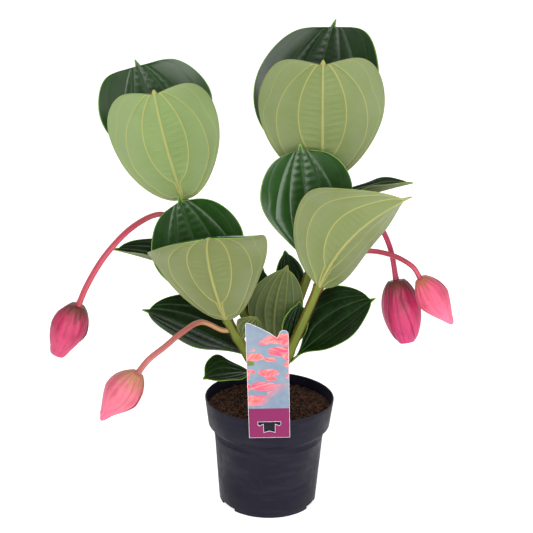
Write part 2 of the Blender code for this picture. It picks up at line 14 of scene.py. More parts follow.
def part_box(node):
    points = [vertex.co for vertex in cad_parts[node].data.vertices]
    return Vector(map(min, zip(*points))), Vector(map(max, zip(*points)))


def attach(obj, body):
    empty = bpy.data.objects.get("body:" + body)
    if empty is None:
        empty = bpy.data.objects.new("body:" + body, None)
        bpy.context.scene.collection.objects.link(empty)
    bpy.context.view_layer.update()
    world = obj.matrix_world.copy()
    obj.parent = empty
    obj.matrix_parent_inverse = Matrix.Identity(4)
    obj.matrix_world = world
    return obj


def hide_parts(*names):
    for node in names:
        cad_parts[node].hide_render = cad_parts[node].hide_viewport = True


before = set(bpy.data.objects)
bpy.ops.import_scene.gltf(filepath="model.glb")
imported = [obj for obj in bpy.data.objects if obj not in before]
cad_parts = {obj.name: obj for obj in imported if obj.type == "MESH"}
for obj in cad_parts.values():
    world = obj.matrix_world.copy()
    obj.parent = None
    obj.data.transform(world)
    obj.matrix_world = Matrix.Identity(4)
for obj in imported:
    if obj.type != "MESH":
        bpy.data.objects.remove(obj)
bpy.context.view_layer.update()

LOG = logging.getLogger("medinilla")
BODY = "root"
MM = 0.001

Colour = tuple[float, float, float, float]
Point = tuple[float, float, float]


def rgb(red: float, green: float, blue: float) -> Colour:
    """A linear colour with full cover."""
    return (red, green, blue, 1.0)


# Shader trees


class Shade:
    """A shader node tree that is being built, with a short call for each kind of node in it."""

    def __init__(self, tree: bpy.types.NodeTree) -> None:
        """Keeps the tree that the calls add to."""
        self.tree = tree

    def add(self, kind: str, **settings: object) -> bpy.types.Node:
        """Adds a node.

        Args:
            kind: The node's type name.
            settings: Properties to set on it.

        Returns:
            The new node.
        """
        node = self.tree.nodes.new(kind)
        for name, value in settings.items():
            setattr(node, name, value)
        return node

    def feed(self, socket: bpy.types.NodeSocket, value: object) -> None:
        """Links an output to this input, or sets the input's own value.

        Args:
            socket: The input.
            value: An output socket, or a number or colour.
        """
        if isinstance(value, bpy.types.NodeSocket):
            self.tree.links.new(value, socket)
        else:
            socket.default_value = value

    def math(self, operation: str, *values: object) -> bpy.types.NodeSocket:
        """One sum on one to three values.

        Args:
            operation: The math node's operation.
            values: Numbers or output sockets.

        Returns:
            The result.
        """
        node = self.add("ShaderNodeMath", operation=operation)
        for socket, value in zip(node.inputs, values):
            self.feed(socket, value)
        return node.outputs[0]

    def step(
        self, value: object, low: object, high: object, start: float = 0.0, end: float = 1.0
    ) -> bpy.types.NodeSocket:
        """A smooth change from start to end while value goes from low to high.

        Args:
            value: What is read.
            low: Where the change starts.
            high: Where it ends.
            start: The result below low.
            end: The result above high.

        Returns:
            The result.
        """
        node = self.add("ShaderNodeMapRange", interpolation_type="SMOOTHSTEP")
        for name, given in (
            ("Value", value),
            ("From Min", low),
            ("From Max", high),
            ("To Min", start),
            ("To Max", end),
        ):
            self.feed(node.inputs[name], given)
        return node.outputs["Result"]

    def blend(self, share: object, first: object, second: object) -> bpy.types.NodeSocket:
        """A colour between two.

        Args:
            share: 0 for the first colour and 1 for the second.
            first: A colour or an output socket.
            second: A colour or an output socket.

        Returns:
            The mixed colour.
        """
        node = self.add("ShaderNodeMix", data_type="RGBA")
        self.feed(node.inputs[0], share)
        self.feed(node.inputs[6], first)
        self.feed(node.inputs[7], second)
        return node.outputs[2]

    def attribute(self, name: str) -> tuple[bpy.types.NodeSocket, ...]:
        """The three numbers of a mesh attribute, as separate outputs."""
        node = self.add("ShaderNodeAttribute", attribute_name=name)
        parts = self.add("ShaderNodeSeparateXYZ")
        self.feed(parts.inputs[0], node.outputs["Vector"])
        return tuple(parts.outputs)

    def place(self) -> bpy.types.NodeSocket:
        """The surface's place on the object, in metres."""
        return self.add("ShaderNodeTexCoord").outputs["Object"]

    def noise(
        self, scale: float, detail: float = 4.0, stretch: Point = (1.0, 1.0, 1.0)
    ) -> bpy.types.NodeSocket:
        """Soft noise from 0 to 1 over the object.

        Args:
            scale: How fine it is, in waves per metre.
            detail: How many finer layers it has.
            stretch: Its scale on each axis.

        Returns:
            The noise.
        """
        mapping = self.add("ShaderNodeMapping")
        self.feed(mapping.inputs["Vector"], self.place())
        mapping.inputs["Scale"].default_value = stretch
        node = self.add("ShaderNodeTexNoise")
        self.feed(node.inputs["Vector"], mapping.outputs[0])
        node.inputs["Scale"].default_value = scale
        node.inputs["Detail"].default_value = detail
        return node.outputs[0]

    def bump(
        self, height: object, strength: float, distance: float, normal: object = None
    ) -> bpy.types.NodeSocket:
        """A normal bent by a height.

        Args:
            height: The height, from 0 to 1.
            strength: How much of it is used.
            distance: The height in metres that 1 stands for.
            normal: A normal to add it to.

        Returns:
            The bent normal.
        """
        node = self.add("ShaderNodeBump")
        node.inputs["Strength"].default_value = strength
        node.inputs["Distance"].default_value = distance
        self.feed(node.inputs["Height"], height)
        if normal is not None:
            self.feed(node.inputs["Normal"], normal)
        return node.outputs[0]

    def group(self, tree: bpy.types.NodeTree, **values: object) -> bpy.types.bpy_prop_collection:
        """Places a node group.

        Args:
            tree: The group's tree.
            values: Its inputs, with an underscore for a blank in a name.

        Returns:
            The group's outputs.
        """
        node = self.add("ShaderNodeGroup", node_tree=tree)
        for name, value in values.items():
            self.feed(node.inputs[name.replace("_", " ")], value)
        return node.outputs


class Effect(Enum):
    """Surface effects that more than one finish uses, each built once as a node group."""

    BLADE_LINES = "blade lines"
    MOTTLE = "mottle"
    GRAIN = "fine grain"
    FURROWS = "growth furrows"


class EffectLibrary:
    """Builds each effect's node group the first time that a finish asks for it."""

    def __init__(self) -> None:
        """Starts with no group built."""
        self.trees: dict[Effect, bpy.types.NodeTree] = {}

    def get(self, effect: Effect) -> bpy.types.NodeTree:
        """The effect's node group.

        Args:
            effect: Which effect.

        Returns:
            Its tree.
        """
        if effect not in self.trees:
            makers = {
                Effect.BLADE_LINES: self.blade_lines,
                Effect.MOTTLE: self.mottle,
                Effect.GRAIN: self.grain,
                Effect.FURROWS: self.furrows,
            }
            self.trees[effect] = makers[effect](effect.value)
        return self.trees[effect]

    def use(self, shade: Shade, effect: Effect, **values: object) -> bpy.types.bpy_prop_collection:
        """Places an effect in a tree.

        Args:
            shade: The tree.
            effect: Which effect.
            values: The group's inputs, with an underscore for a blank in a name.

        Returns:
            The group's outputs.
        """
        return shade.group(self.get(effect), **values)

    def start(
        self, name: str, inputs: dict[str, float], outputs: tuple[str, ...]
    ) -> tuple[Shade, dict, dict]:
        """Makes a group with float sockets.

        Args:
            name: The group's name.
            inputs: Each input's name and default.
            outputs: The outputs' names.

        Returns:
            The tree, its inputs by name and its outputs by name.
        """
        tree = bpy.data.node_groups.new(name, "ShaderNodeTree")
        for title, value in inputs.items():
            socket = tree.interface.new_socket(title, in_out="INPUT", socket_type="NodeSocketFloat")
            socket.default_value = value
        for title in outputs:
            tree.interface.new_socket(title, in_out="OUTPUT", socket_type="NodeSocketFloat")
        shade = Shade(tree)
        entry = shade.add("NodeGroupInput")
        leave = shade.add("NodeGroupOutput")
        return shade, {s.name: s for s in entry.outputs}, {s.name: s for s in leave.inputs}

    def blade_lines(self, name: str) -> bpy.types.NodeTree:
        """Midrib, veins, margin and cross ribs of a blade, from its mesh attribute in millimetres."""
        inputs = {"Midrib Width": 1.4, "Vein Width": 0.8, "Margin Width": 1.0}
        shade, given, out = self.start(name, inputs, ("Midrib", "Veins", "Margin", "Cross Ribs"))
        across, share, half = shade.attribute("blade")
        run = shade.attribute("growth")[0]
        side = shade.math("ABSOLUTE", across)
        slim = shade.math("SUBTRACT", 1.45, share)
        midrib = shade.math("MULTIPLY", given["Midrib Width"], slim)
        shade.feed(out["Midrib"], shade.step(side, midrib, shade.math("MULTIPLY", midrib, 0.55), 0.0, 1.0))
        veins = None
        for line, vein in zip(shade.attribute("lines"), VEINS):
            away = shade.math("ABSOLUTE", shade.math("SUBTRACT", side, line))
            width = shade.math("MULTIPLY", given["Vein Width"], vein.weight)
            mask = shade.step(away, width, shade.math("MULTIPLY", width, 0.4), 0.0, 1.0)
            mask = shade.math("MULTIPLY", mask, math.sqrt(vein.weight))
            veins = mask if veins is None else shade.math("MAXIMUM", veins, mask)
        shade.feed(out["Veins"], veins)
        margin = given["Margin Width"]
        inner = shade.math("MULTIPLY", margin, 0.4)
        shade.feed(out["Margin"], shade.step(shade.math("SUBTRACT", half, side), margin, inner, 0.0, 1.0))
        wander = shade.math("MULTIPLY", shade.noise(60.0, 2.0), 9.0)
        turns = shade.math("ADD", shade.math("MULTIPLY", run, 2 * math.pi / 3.1), wander)
        wave = shade.math("ADD", shade.math("MULTIPLY", shade.math("SINE", turns), 0.5), 0.5)
        far, close = shade.math("MULTIPLY", half, 0.72), shade.math("MULTIPLY", half, 0.30)
        near = shade.step(side, far, close, 0.0, 1.0)
        shade.feed(out["Cross Ribs"], shade.math("MULTIPLY", wave, near))
        return shade.tree

    def mottle(self, name: str) -> bpy.types.NodeTree:
        """Uneven tone at two sizes, which keeps a grown or printed surface from looking like one colour."""
        shade, given, out = self.start(name, {"Scale": 40.0, "Contrast": 1.0}, ("Tone",))
        place = shade.place()
        layers = []
        for share in (1.0, 4.3):
            node = shade.add("ShaderNodeTexNoise")
            shade.feed(node.inputs["Vector"], place)
            shade.feed(node.inputs["Scale"], shade.math("MULTIPLY", given["Scale"], share))
            node.inputs["Detail"].default_value = 3.0
            layers.append(node.outputs[0])
        broad, fine = shade.math("MULTIPLY", layers[0], 0.65), shade.math("MULTIPLY", layers[1], 0.35)
        mixed = shade.math("ADD", broad, fine)
        spread = shade.math("MULTIPLY", shade.math("SUBTRACT", mixed, 0.5), given["Contrast"])
        shade.feed(out["Tone"], shade.step(spread, -0.28, 0.28))
        return shade.tree

    def grain(self, name: str) -> bpy.types.NodeTree:
        """Fine cells for a height: leaf skin, moulded plastic or card fibre."""
        shade, given, out = self.start(name, {"Scale": 900.0}, ("Height",))
        cells = shade.add("ShaderNodeTexVoronoi", feature="SMOOTH_F1")
        shade.feed(cells.inputs["Vector"], shade.place())
        shade.feed(cells.inputs["Scale"], given["Scale"])
        soft = shade.add("ShaderNodeTexNoise")
        shade.feed(soft.inputs["Vector"], shade.place())
        shade.feed(soft.inputs["Scale"], shade.math("MULTIPLY", given["Scale"], 0.35))
        height = shade.math("MULTIPLY", shade.math("ADD", cells.outputs["Distance"], soft.outputs[0]), 0.5)
        shade.feed(out["Height"], height)
        return shade.tree

    def furrows(self, name: str) -> bpy.types.NodeTree:
        """Long fine lines that follow a stem, stalk or bract, from the attribute named limb."""
        shade, given, out = self.start(name, {"Lines": 40.0, "Scale": 0.12}, ("Height",))
        around, run, _ = shade.attribute("limb")
        join = shade.add("ShaderNodeCombineXYZ")
        shade.feed(join.inputs[0], shade.math("MULTIPLY", around, given["Lines"]))
        shade.feed(join.inputs[1], shade.math("MULTIPLY", run, given["Scale"]))
        node = shade.add("ShaderNodeTexNoise")
        shade.feed(node.inputs["Vector"], join.outputs[0])
        node.inputs["Scale"].default_value = 1.0
        node.inputs["Detail"].default_value = 3.0
        shade.feed(out["Height"], node.outputs[0])
        return shade.tree


EFFECTS = EffectLibrary()


@dataclass(frozen=True)
class Finish:
    """A surface: what every finish on the plant shares."""

    name: str
    roughness: float = 0.5
    specular: float = 0.5
    coat: float = 0.0
    coat_roughness: float = 0.2

    def material(self) -> bpy.types.Material:
        """Builds the material.

        Returns:
            A node material with this finish.
        """
        made = bpy.data.materials.new(self.name)
        made.use_nodes = True
        made.node_tree.nodes.clear()
        shade = Shade(made.node_tree)
        surface = shade.add("ShaderNodeBsdfPrincipled")
        leave = shade.add("ShaderNodeOutputMaterial")
        shade.feed(leave.inputs["Surface"], surface.outputs[0])
        surface.inputs["Roughness"].default_value = self.roughness
        surface.inputs["Specular IOR Level"].default_value = self.specular
        surface.inputs["Coat Weight"].default_value = self.coat
        surface.inputs["Coat Roughness"].default_value = self.coat_roughness
        self.paint(shade, surface.inputs)
        return made

    def uneven(
        self, shade: Shade, tone: bpy.types.NodeSocket, less: float, more: float
    ) -> bpy.types.NodeSocket:
        """The roughness over the surface, which a tone from 0 to 1 makes smoother or rougher.

        Args:
            shade: The material's tree.
            tone: The tone.
            less: How much smoother it gets.
            more: How much rougher it gets.

        Returns:
            The roughness.
        """
        return shade.step(tone, 0.0, 1.0, self.roughness - less, self.roughness + more)

    def paint(self, shade: Shade, sockets: bpy.types.bpy_prop_collection) -> None:
        """Feeds colour, roughness and normal.

        Args:
            shade: The material's tree.
            sockets: The Principled shader's inputs.
        """
        raise NotImplementedError


@dataclass(frozen=True)
class UpperSide(Finish):
    """The glossy upper side of a blade: dark green with sunken lighter veins and a bright margin."""

    old: Colour = rgb(0.003, 0.011, 0.002)
    young: Colour = rgb(0.017, 0.072, 0.007)
    vein: Colour = rgb(0.040, 0.115, 0.018)
    margin: Colour = rgb(0.150, 0.310, 0.020)

    def paint(self, shade: Shade, sockets: bpy.types.bpy_prop_collection) -> None:
        """Feeds the blade's colours and its leathery, quilted normal."""
        lines = EFFECTS.use(shade, Effect.BLADE_LINES, Midrib_Width=1.0, Vein_Width=0.70, Margin_Width=1.7)
        tone = EFFECTS.use(shade, Effect.MOTTLE, Scale=45.0, Contrast=1.0)[0]
        youth_and_shade = shade.attribute("growth")[2]
        freshness = shade.math("ADD", youth_and_shade, shade.step(tone, 0.0, 1.0, -0.12, 0.12))
        ground = shade.blend(freshness, self.old, self.young)
        veins = shade.math("MULTIPLY", shade.math("MAXIMUM", lines["Midrib"], lines["Veins"]), 0.75)
        ground = shade.blend(veins, ground, self.vein)
        shade.feed(sockets["Base Color"], shade.blend(lines["Margin"], ground, self.margin))
        rough = shade.math("ADD", self.uneven(shade, tone, 0.05, 0.08), veins)
        shade.feed(sockets["Roughness"], shade.math("MINIMUM", rough, 0.6))
        specular = shade.step(youth_and_shade, 0.1, 0.5, 0.4 * self.specular, self.specular)
        shade.feed(sockets["Specular IOR Level"], specular)
        shade.feed(sockets["Coat Weight"], shade.step(youth_and_shade, 0.1, 0.5, 0.2 * self.coat, self.coat))
        skin = EFFECTS.use(shade, Effect.GRAIN, Scale=1300.0)["Height"]
        quilt = shade.bump(lines["Cross Ribs"], 0.10, 0.0005)
        shade.feed(sockets["Normal"], shade.bump(skin, 0.10, 0.0002, quilt))


@dataclass(frozen=True)
class UnderSide(Finish):
    """The paler underside: yellow-green or olive, with ochre ribs that stand up, painted shade along the
    cross veins, and a darker painted-shade underside on the inner and low leaves.
    """

    fresh: Colour = rgb(0.210, 0.300, 0.105)
    olive: Colour = rgb(0.172, 0.188, 0.070)
    film: Colour = rgb(0.185, 0.220, 0.125)
    # Darker green, used for painted shade along the cross veins and for random darker tone.
    quilt_shade_and_tone: Colour = rgb(0.100, 0.150, 0.035)
    # Painted shade for the undersides of the inner and low leaves.
    painted_shade: Colour = rgb(0.042, 0.066, 0.016)
    rib: Colour = rgb(0.370, 0.350, 0.105)
    margin: Colour = rgb(0.300, 0.300, 0.070)

    def paint(self, shade: Shade, sockets: bpy.types.bpy_prop_collection) -> None:
        """Feeds the blade's colours and its matt, finely netted normal."""
        lines = EFFECTS.use(shade, Effect.BLADE_LINES, Midrib_Width=1.6, Vein_Width=1.0, Margin_Width=0.9)
        tone = EFFECTS.use(shade, Effect.MOTTLE, Scale=26.0, Contrast=1.2)[0]
        across, _, half = shade.attribute("blade")
        _, age, youth_and_shade = shade.attribute("growth")
        ground = shade.blend(age, self.fresh, self.olive)
        outer = shade.step(shade.math("DIVIDE", shade.math("ABSOLUTE", across), half), 0.22, 0.85, 0.0, 0.60)
        ground = shade.blend(shade.math("MULTIPLY", outer, tone), ground, self.film)
        # Painted shade: inner and low leaves, which have a low youth value, get a darker underside here and
        # fainter ribs further down.
        ground = shade.blend(shade.step(youth_and_shade, 0.35, 0.0, 0.0, 0.92), ground, self.painted_shade)
        # Painted shade along the cross veins, where the blade puckers.
        ground = shade.blend(shade.math("MULTIPLY", lines["Cross Ribs"], 0.15), ground, self.quilt_shade_and_tone)
        ground = shade.blend(shade.step(tone, 0.0, 1.0, 0.18, 0.0), ground, self.quilt_shade_and_tone)
        ribs = shade.math("MAXIMUM", lines["Midrib"], lines["Veins"])
        shown = shade.step(youth_and_shade, 0.0, 0.35, 0.16, 0.72)
        ground = shade.blend(shade.math("MULTIPLY", ribs, shown), ground, self.rib)
        rim = shade.math("MULTIPLY", lines["Margin"], 0.8)
        shade.feed(sockets["Base Color"], shade.blend(rim, ground, self.margin))
        shade.feed(sockets["Roughness"], self.uneven(shade, tone, 0.06, 0.08))
        skin = EFFECTS.use(shade, Effect.GRAIN, Scale=1500.0)["Height"]
        net = shade.bump(lines["Cross Ribs"], 0.22, 0.0005)
        shade.feed(sockets["Normal"], shade.bump(skin, 0.14, 0.0002, net))


@dataclass(frozen=True)
class LimbFinish(Finish):
    """A stem or stalk with four angles, coloured by how near an angle and how far along a point is."""

    face: Colour = rgb(0.135, 0.185, 0.016)
    angle: Colour = rgb(0.130, 0.045, 0.016)
    base: Colour = rgb(0.075, 0.115, 0.012)
    base_reach: float = 0.5

    def paint(self, shade: Shade, sockets: bpy.types.bpy_prop_collection) -> None:
        """Feeds the limb's colours and its long furrows."""
        near, share = shade.attribute("section")[:2]
        tone = EFFECTS.use(shade, Effect.MOTTLE, Scale=70.0, Contrast=1.2)[0]
        ground = shade.blend(shade.step(share, 0.0, self.base_reach), self.base, self.face)
        edge = shade.math("MULTIPLY", shade.step(near, 0.80, 1.0), shade.step(tone, 0.0, 1.0, 0.60, 0.95))
        ground = shade.blend(edge, ground, self.angle)
        ground = shade.blend(shade.step(tone, 0.0, 1.0, 0.10, 0.0), ground, self.angle)
        shade.feed(sockets["Base Color"], ground)
        shade.feed(sockets["Roughness"], self.uneven(shade, tone, 0.06, 0.08))
        lines = EFFECTS.use(shade, Effect.FURROWS, Lines=60.0, Scale=0.08)["Height"]
        shade.feed(sockets["Normal"], shade.bump(lines, 0.35, 0.0004))


@dataclass(frozen=True)
class BractFinish(Finish):
    """A pink bract: brown-green near its neck, darker along its edges (partly its own colour, partly painted
    shade where the bracts overlap), with painted shade in its creases, seam and mouth and on its inner face,
    and fine long lines.
    """

    pink: Colour = rgb(0.700, 0.100, 0.200)
    tip: Colour = rgb(0.800, 0.160, 0.280)
    neck: Colour = rgb(0.160, 0.080, 0.030)
    # A darker pink for edge lines and streaks, also used for painted shade.
    edge: Colour = rgb(0.300, 0.020, 0.060)
    neck_reach: float = 0.30
    specular: float = 0.28

    def paint(self, shade: Shade, sockets: bpy.types.bpy_prop_collection) -> None:
        """Feeds the bract's colours and its long furrows."""
        side, share, fold = shade.attribute("bract")
        tone = EFFECTS.use(shade, Effect.MOTTLE, Scale=60.0, Contrast=1.3)[0]
        lines = EFFECTS.use(shade, Effect.FURROWS, Lines=26.0, Scale=0.05)["Height"]
        ground = shade.blend(shade.step(share, 0.35, 1.0), self.pink, self.tip)
        reach = shade.math("MULTIPLY", shade.step(lines, 0.30, 0.72), self.neck_reach)
        reach = shade.math("ADD", reach, self.neck_reach * 0.45)
        ground = shade.blend(shade.step(share, reach, 0.02, 0.0, 0.9), ground, self.neck)
        ground = shade.blend(shade.step(lines, 0.50, 0.64, 0.0, 0.30), ground, self.edge)
        # Painted shade in the creases, the seam and the mouth and on each bract's inner face, from the bract
        # attribute's third number.
        ground = shade.blend(shade.math("MULTIPLY", fold, 0.55), ground, self.edge)
        # Darker edges: partly the bract's own colour, partly painted shade where the bracts overlap.
        rim = shade.math("MULTIPLY", shade.step(shade.math("ABSOLUTE", side), 0.90, 1.0), 0.6)
        ground = shade.blend(rim, ground, self.edge)
        ground = shade.blend(shade.step(tone, 0.0, 1.0, 0.18, 0.0), ground, self.edge)
        shade.feed(sockets["Base Color"], ground)
        shade.feed(sockets["Roughness"], self.uneven(shade, tone, 0.05, 0.08))
        shade.feed(sockets["Normal"], shade.bump(lines, 0.55, 0.0008))


@dataclass(frozen=True)
class PlasticFinish(Finish):
    """Matt black moulded plastic: a fine grain, faint flow marks and a painted highlight along the top of its
    lip.
    """

    ground: Colour = rgb(0.006, 0.0055, 0.014)
    # A paler black for the flow marks and for the painted highlight on the lip.
    marks_and_lip_highlight: Colour = rgb(0.022, 0.021, 0.033)
    dust: Colour = rgb(0.017, 0.015, 0.020)
    lip_height: float = 0.1438
    foot_height: float = 0.030

    def paint(self, shade: Shade, sockets: bpy.types.bpy_prop_collection) -> None:
        """Feeds the plastic's colours, its roughness and its grain."""
        parts = shade.add("ShaderNodeSeparateXYZ")
        shade.feed(parts.inputs[0], shade.place())
        height = parts.outputs[2]
        tone = EFFECTS.use(shade, Effect.MOTTLE, Scale=28.0, Contrast=1.3)[0]
        flow = shade.noise(26.0, 3.0, (1.0, 1.0, 6.0))
        scuffs = shade.math("MULTIPLY", shade.step(shade.noise(160.0, 5.0), 0.56, 0.75), 0.35)
        marks = shade.math("MULTIPLY", shade.step(flow, 0.45, 0.7), 0.30)
        ground = shade.blend(marks, self.ground, self.marks_and_lip_highlight)
        low = shade.step(height, self.foot_height, 0.0, 0.0, 0.35)
        ground = shade.blend(shade.math("MULTIPLY", low, tone), ground, self.dust)
        ground = shade.blend(scuffs, ground, self.dust)
        # Painted highlight: the top of the lip is coloured paler.
        lip = shade.step(height, self.lip_height, self.lip_height + 0.001, 0.0, 0.55)
        shade.feed(sockets["Base Color"], shade.blend(lip, ground, self.marks_and_lip_highlight))
        shade.feed(sockets["Roughness"], self.uneven(shade, tone, 0.07, 0.1))
        grain = EFFECTS.use(shade, Effect.GRAIN, Scale=1100.0)["Height"]
        waves = shade.bump(flow, 0.18, 0.0006)
        shade.feed(sockets["Normal"], shade.bump(grain, 0.22, 0.00025, waves))


@dataclass(frozen=True)
class PeatFinish(Finish):
    """Crumbly brown peat with painted shade in its hollows and a few pale fibres."""

    # Painted shade for the hollows between the crumbs.
    hollow_shade: Colour = rgb(0.014, 0.006, 0.004)
    brown: Colour = rgb(0.095, 0.040, 0.022)
    dry: Colour = rgb(0.240, 0.115, 0.066)

    def paint(self, shade: Shade, sockets: bpy.types.bpy_prop_collection) -> None:
        """Feeds the peat's colours and its rough normal."""
        wet = EFFECTS.use(shade, Effect.MOTTLE, Scale=38.0, Contrast=1.6)[0]
        crumb = shade.noise(300.0, 6.0)
        # Painted shade: where the crumb bump below is low, the colour is darker.
        ground = shade.blend(shade.step(crumb, 0.42, 0.62), self.hollow_shade, self.brown)
        bright = shade.math("MULTIPLY", shade.step(shade.noise(900.0, 3.0), 0.52, 0.72), wet)
        shade.feed(sockets["Base Color"], shade.blend(bright, ground, self.dry))
        shade.feed(sockets["Roughness"], shade.step(wet, 0.0, 1.0, 0.78, 0.98))
        fine = shade.bump(shade.noise(1500.0, 4.0), 0.8, 0.0006)
        shade.feed(sockets["Normal"], shade.bump(crumb, 1.0, 0.0032, fine))


@dataclass(frozen=True)
class PrintFinish(Finish):
    """A printed card: loose drifts of petals and leaflets on pale blue over a plain purple band."""

    sky: Colour = rgb(0.150, 0.205, 0.290)
    haze: Colour = rgb(0.220, 0.270, 0.320)
    coral: Colour = rgb(0.750, 0.090, 0.080)
    rose: Colour = rgb(0.620, 0.030, 0.120)
    petal_light: Colour = rgb(0.800, 0.240, 0.230)
    leaflet: Colour = rgb(0.110, 0.160, 0.040)
    band: Colour = rgb(0.190, 0.010, 0.080)
    band_top: float = 19.0
    petal_shape: Point = (0.8, 2.0, 1.0)
    point: float = 1.35
    layers: tuple[tuple[float, float, float], ...] = (
        (0.024, -0.55, 0.10),
        (0.030, 0.75, 0.30),
        (0.036, -1.20, 0.35),
    )

    def petals(self, shade: Shade, scale: float, turn: float) -> tuple[bpy.types.NodeSocket, ...]:
        """One layer of scattered petals with pointed ends.

        Args:
            shade: The material's tree.
            scale: Petals per millimetre.
            turn: Which way the layer leans, in radians.

        Returns:
            The petals' mask, each one's own shade from 0 to 1, the distance from its middle, and
            streaks along it.
        """
        node = shade.add("ShaderNodeAttribute", attribute_name="print")
        mapping = shade.add("ShaderNodeMapping")
        shade.feed(mapping.inputs["Vector"], node.outputs["Vector"])
        mapping.inputs["Rotation"].default_value = (0.0, 0.0, turn)
        mapping.inputs["Scale"].default_value = tuple(scale * size for size in self.petal_shape)
        cells = shade.add("ShaderNodeTexVoronoi", feature="F1", distance="MINKOWSKI")
        cells.inputs["Scale"].default_value = 1.0
        cells.inputs["Exponent"].default_value = self.point
        cells.inputs["Randomness"].default_value = 0.85
        shade.feed(cells.inputs["Vector"], mapping.outputs[0])
        tint = shade.add("ShaderNodeSeparateColor")
        shade.feed(tint.inputs[0], cells.outputs["Color"])
        lengthen = shade.add("ShaderNodeMapping")
        lengthen.inputs["Scale"].default_value = (1.5, 9.0, 1.0)
        shade.feed(lengthen.inputs["Vector"], mapping.outputs[0])
        streaks = shade.add("ShaderNodeTexNoise")
        shade.feed(streaks.inputs["Vector"], lengthen.outputs[0])
        streaks.inputs["Scale"].default_value = 1.0
        mask = shade.step(cells.outputs["Distance"], 0.56, 0.54)
        return mask, tint.outputs[0], cells.outputs["Distance"], streaks.outputs[0]

    def paint(self, shade: Shade, sockets: bpy.types.bpy_prop_collection) -> None:
        """Feeds the print's colours and the card's faint tooth."""
        across, height, _ = shade.attribute("print")
        cloud = EFFECTS.use(shade, Effect.MOTTLE, Scale=30.0, Contrast=1.5)[0]
        ground = shade.blend(cloud, self.sky, self.haze)
        leaf_mask, leaf_tint, _, _ = self.petals(shade, 0.022, 0.6)
        few = shade.math("MULTIPLY", shade.step(leaf_tint, 0.45, 0.47), shade.step(height, 40.0, 70.0))
        ground = shade.blend(shade.math("MULTIPLY", leaf_mask, few), ground, self.leaflet)
        slant = shade.math("ADD", height, shade.math("MULTIPLY", across, -0.9))
        drift = shade.math("MULTIPLY", shade.step(slant, 24.0, 54.0), shade.step(slant, 122.0, 108.0))
        for scale, turn, keep in self.layers:
            mask, tint, middle, streaks = self.petals(shade, scale, turn)
            petal = shade.blend(shade.step(tint, keep, 1.0), self.rose, self.coral)
            streaked = shade.step(streaks, 0.38, 0.62, 0.15, 0.95)
            pale = shade.math("MULTIPLY", shade.step(middle, 0.05, 0.45), streaked)
            petal = shade.blend(pale, petal, self.petal_light)
            kept = shade.math("MULTIPLY", mask, shade.step(tint, keep, keep + 0.02))
            shown = shade.math("MULTIPLY", kept, drift)
            ground = shade.blend(shown, ground, petal)
        band = shade.step(height, self.band_top + 0.15, self.band_top - 0.15)
        shade.feed(sockets["Base Color"], shade.blend(band, ground, self.band))
        shade.feed(sockets["Roughness"], self.uneven(shade, cloud, 0.04, 0.06))
        tooth = EFFECTS.use(shade, Effect.GRAIN, Scale=2200.0)["Height"]
        shade.feed(sockets["Normal"], shade.bump(tooth, 0.06, 0.0001))


@dataclass(frozen=True)
class CardStock(Finish):
    """The card's white core, which shows at its cut edges, back and tab."""

    white: Colour = rgb(0.780, 0.780, 0.770)
    shadow: Colour = rgb(0.600, 0.590, 0.580)

    def paint(self, shade: Shade, sockets: bpy.types.bpy_prop_collection) -> None:
        """Feeds the card's colour and fibre."""
        tone = EFFECTS.use(shade, Effect.MOTTLE, Scale=120.0, Contrast=1.2)[0]
        shade.feed(sockets["Base Color"], shade.blend(tone, self.shadow, self.white))
        shade.feed(sockets["Roughness"], self.uneven(shade, tone, 0.05, 0.05))
        tooth = EFFECTS.use(shade, Effect.GRAIN, Scale=1800.0)["Height"]
        shade.feed(sockets["Normal"], shade.bump(tooth, 0.12, 0.0001))


@dataclass(frozen=True)
class FloorFinish(Finish):
    """A plain pale studio floor that glows a little, so that it stays even far from the lights."""

    pale: Colour = rgb(0.86, 0.86, 0.86)
    shade_tone: Colour = rgb(0.83, 0.83, 0.835)
    glow: float = 0.74

    def paint(self, shade: Shade, sockets: bpy.types.bpy_prop_collection) -> None:
        """Feeds the floor's colour and glow."""
        tone = EFFECTS.use(shade, Effect.MOTTLE, Scale=1.5, Contrast=1.0)[0]
        shade.feed(sockets["Base Color"], shade.blend(tone, self.shade_tone, self.pale))
        sockets["Emission Color"].default_value = self.pale
        sockets["Emission Strength"].default_value = self.glow


# Mesh building


def add_piece(
    name: str,
    vertices: np.ndarray,
    faces: list,
    finishes: list[bpy.types.Material],
    kinds: np.ndarray | None = None,
    attributes: dict[str, np.ndarray] | None = None,
) -> bpy.types.Object:
    """Makes a smooth mesh object.

    Args:
        name: The piece's name.
        vertices: Its points.
        faces: Its faces, as point numbers.
        finishes: Its materials.
        kinds: Which material each face has.
        attributes: Three numbers a point, by attribute name.

    Returns:
        The object.
    """
    mesh = bpy.data.meshes.new(name)
    mesh.from_pydata(np.asarray(vertices, float).tolist(), [], faces)
    for finish in finishes:
        mesh.materials.append(finish)
    mesh.polygons.foreach_set("use_smooth", np.ones(len(mesh.polygons), bool))
    if kinds is not None:
        mesh.polygons.foreach_set("material_index", np.asarray(kinds, np.int32))
    for title, values in (attributes or {}).items():
        layer = mesh.attributes.new(title, "FLOAT_VECTOR", "POINT")
        layer.data.foreach_set("vector", np.asarray(values, np.float32).ravel())
    mesh.update()
    piece = bpy.data.objects.new(name, mesh)
    bpy.context.scene.collection.objects.link(piece)
    return piece


def settle(piece: bpy.types.Object, node: str) -> None:
    """Lets a piece stand for its CAD node.

    Args:
        piece: The dressed piece.
        node: The node that it replaces.
    """
    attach(piece, BODY)
    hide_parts(node)
    LOG.info("%s stands for %s with %d faces", piece.name, node, len(piece.data.polygons))


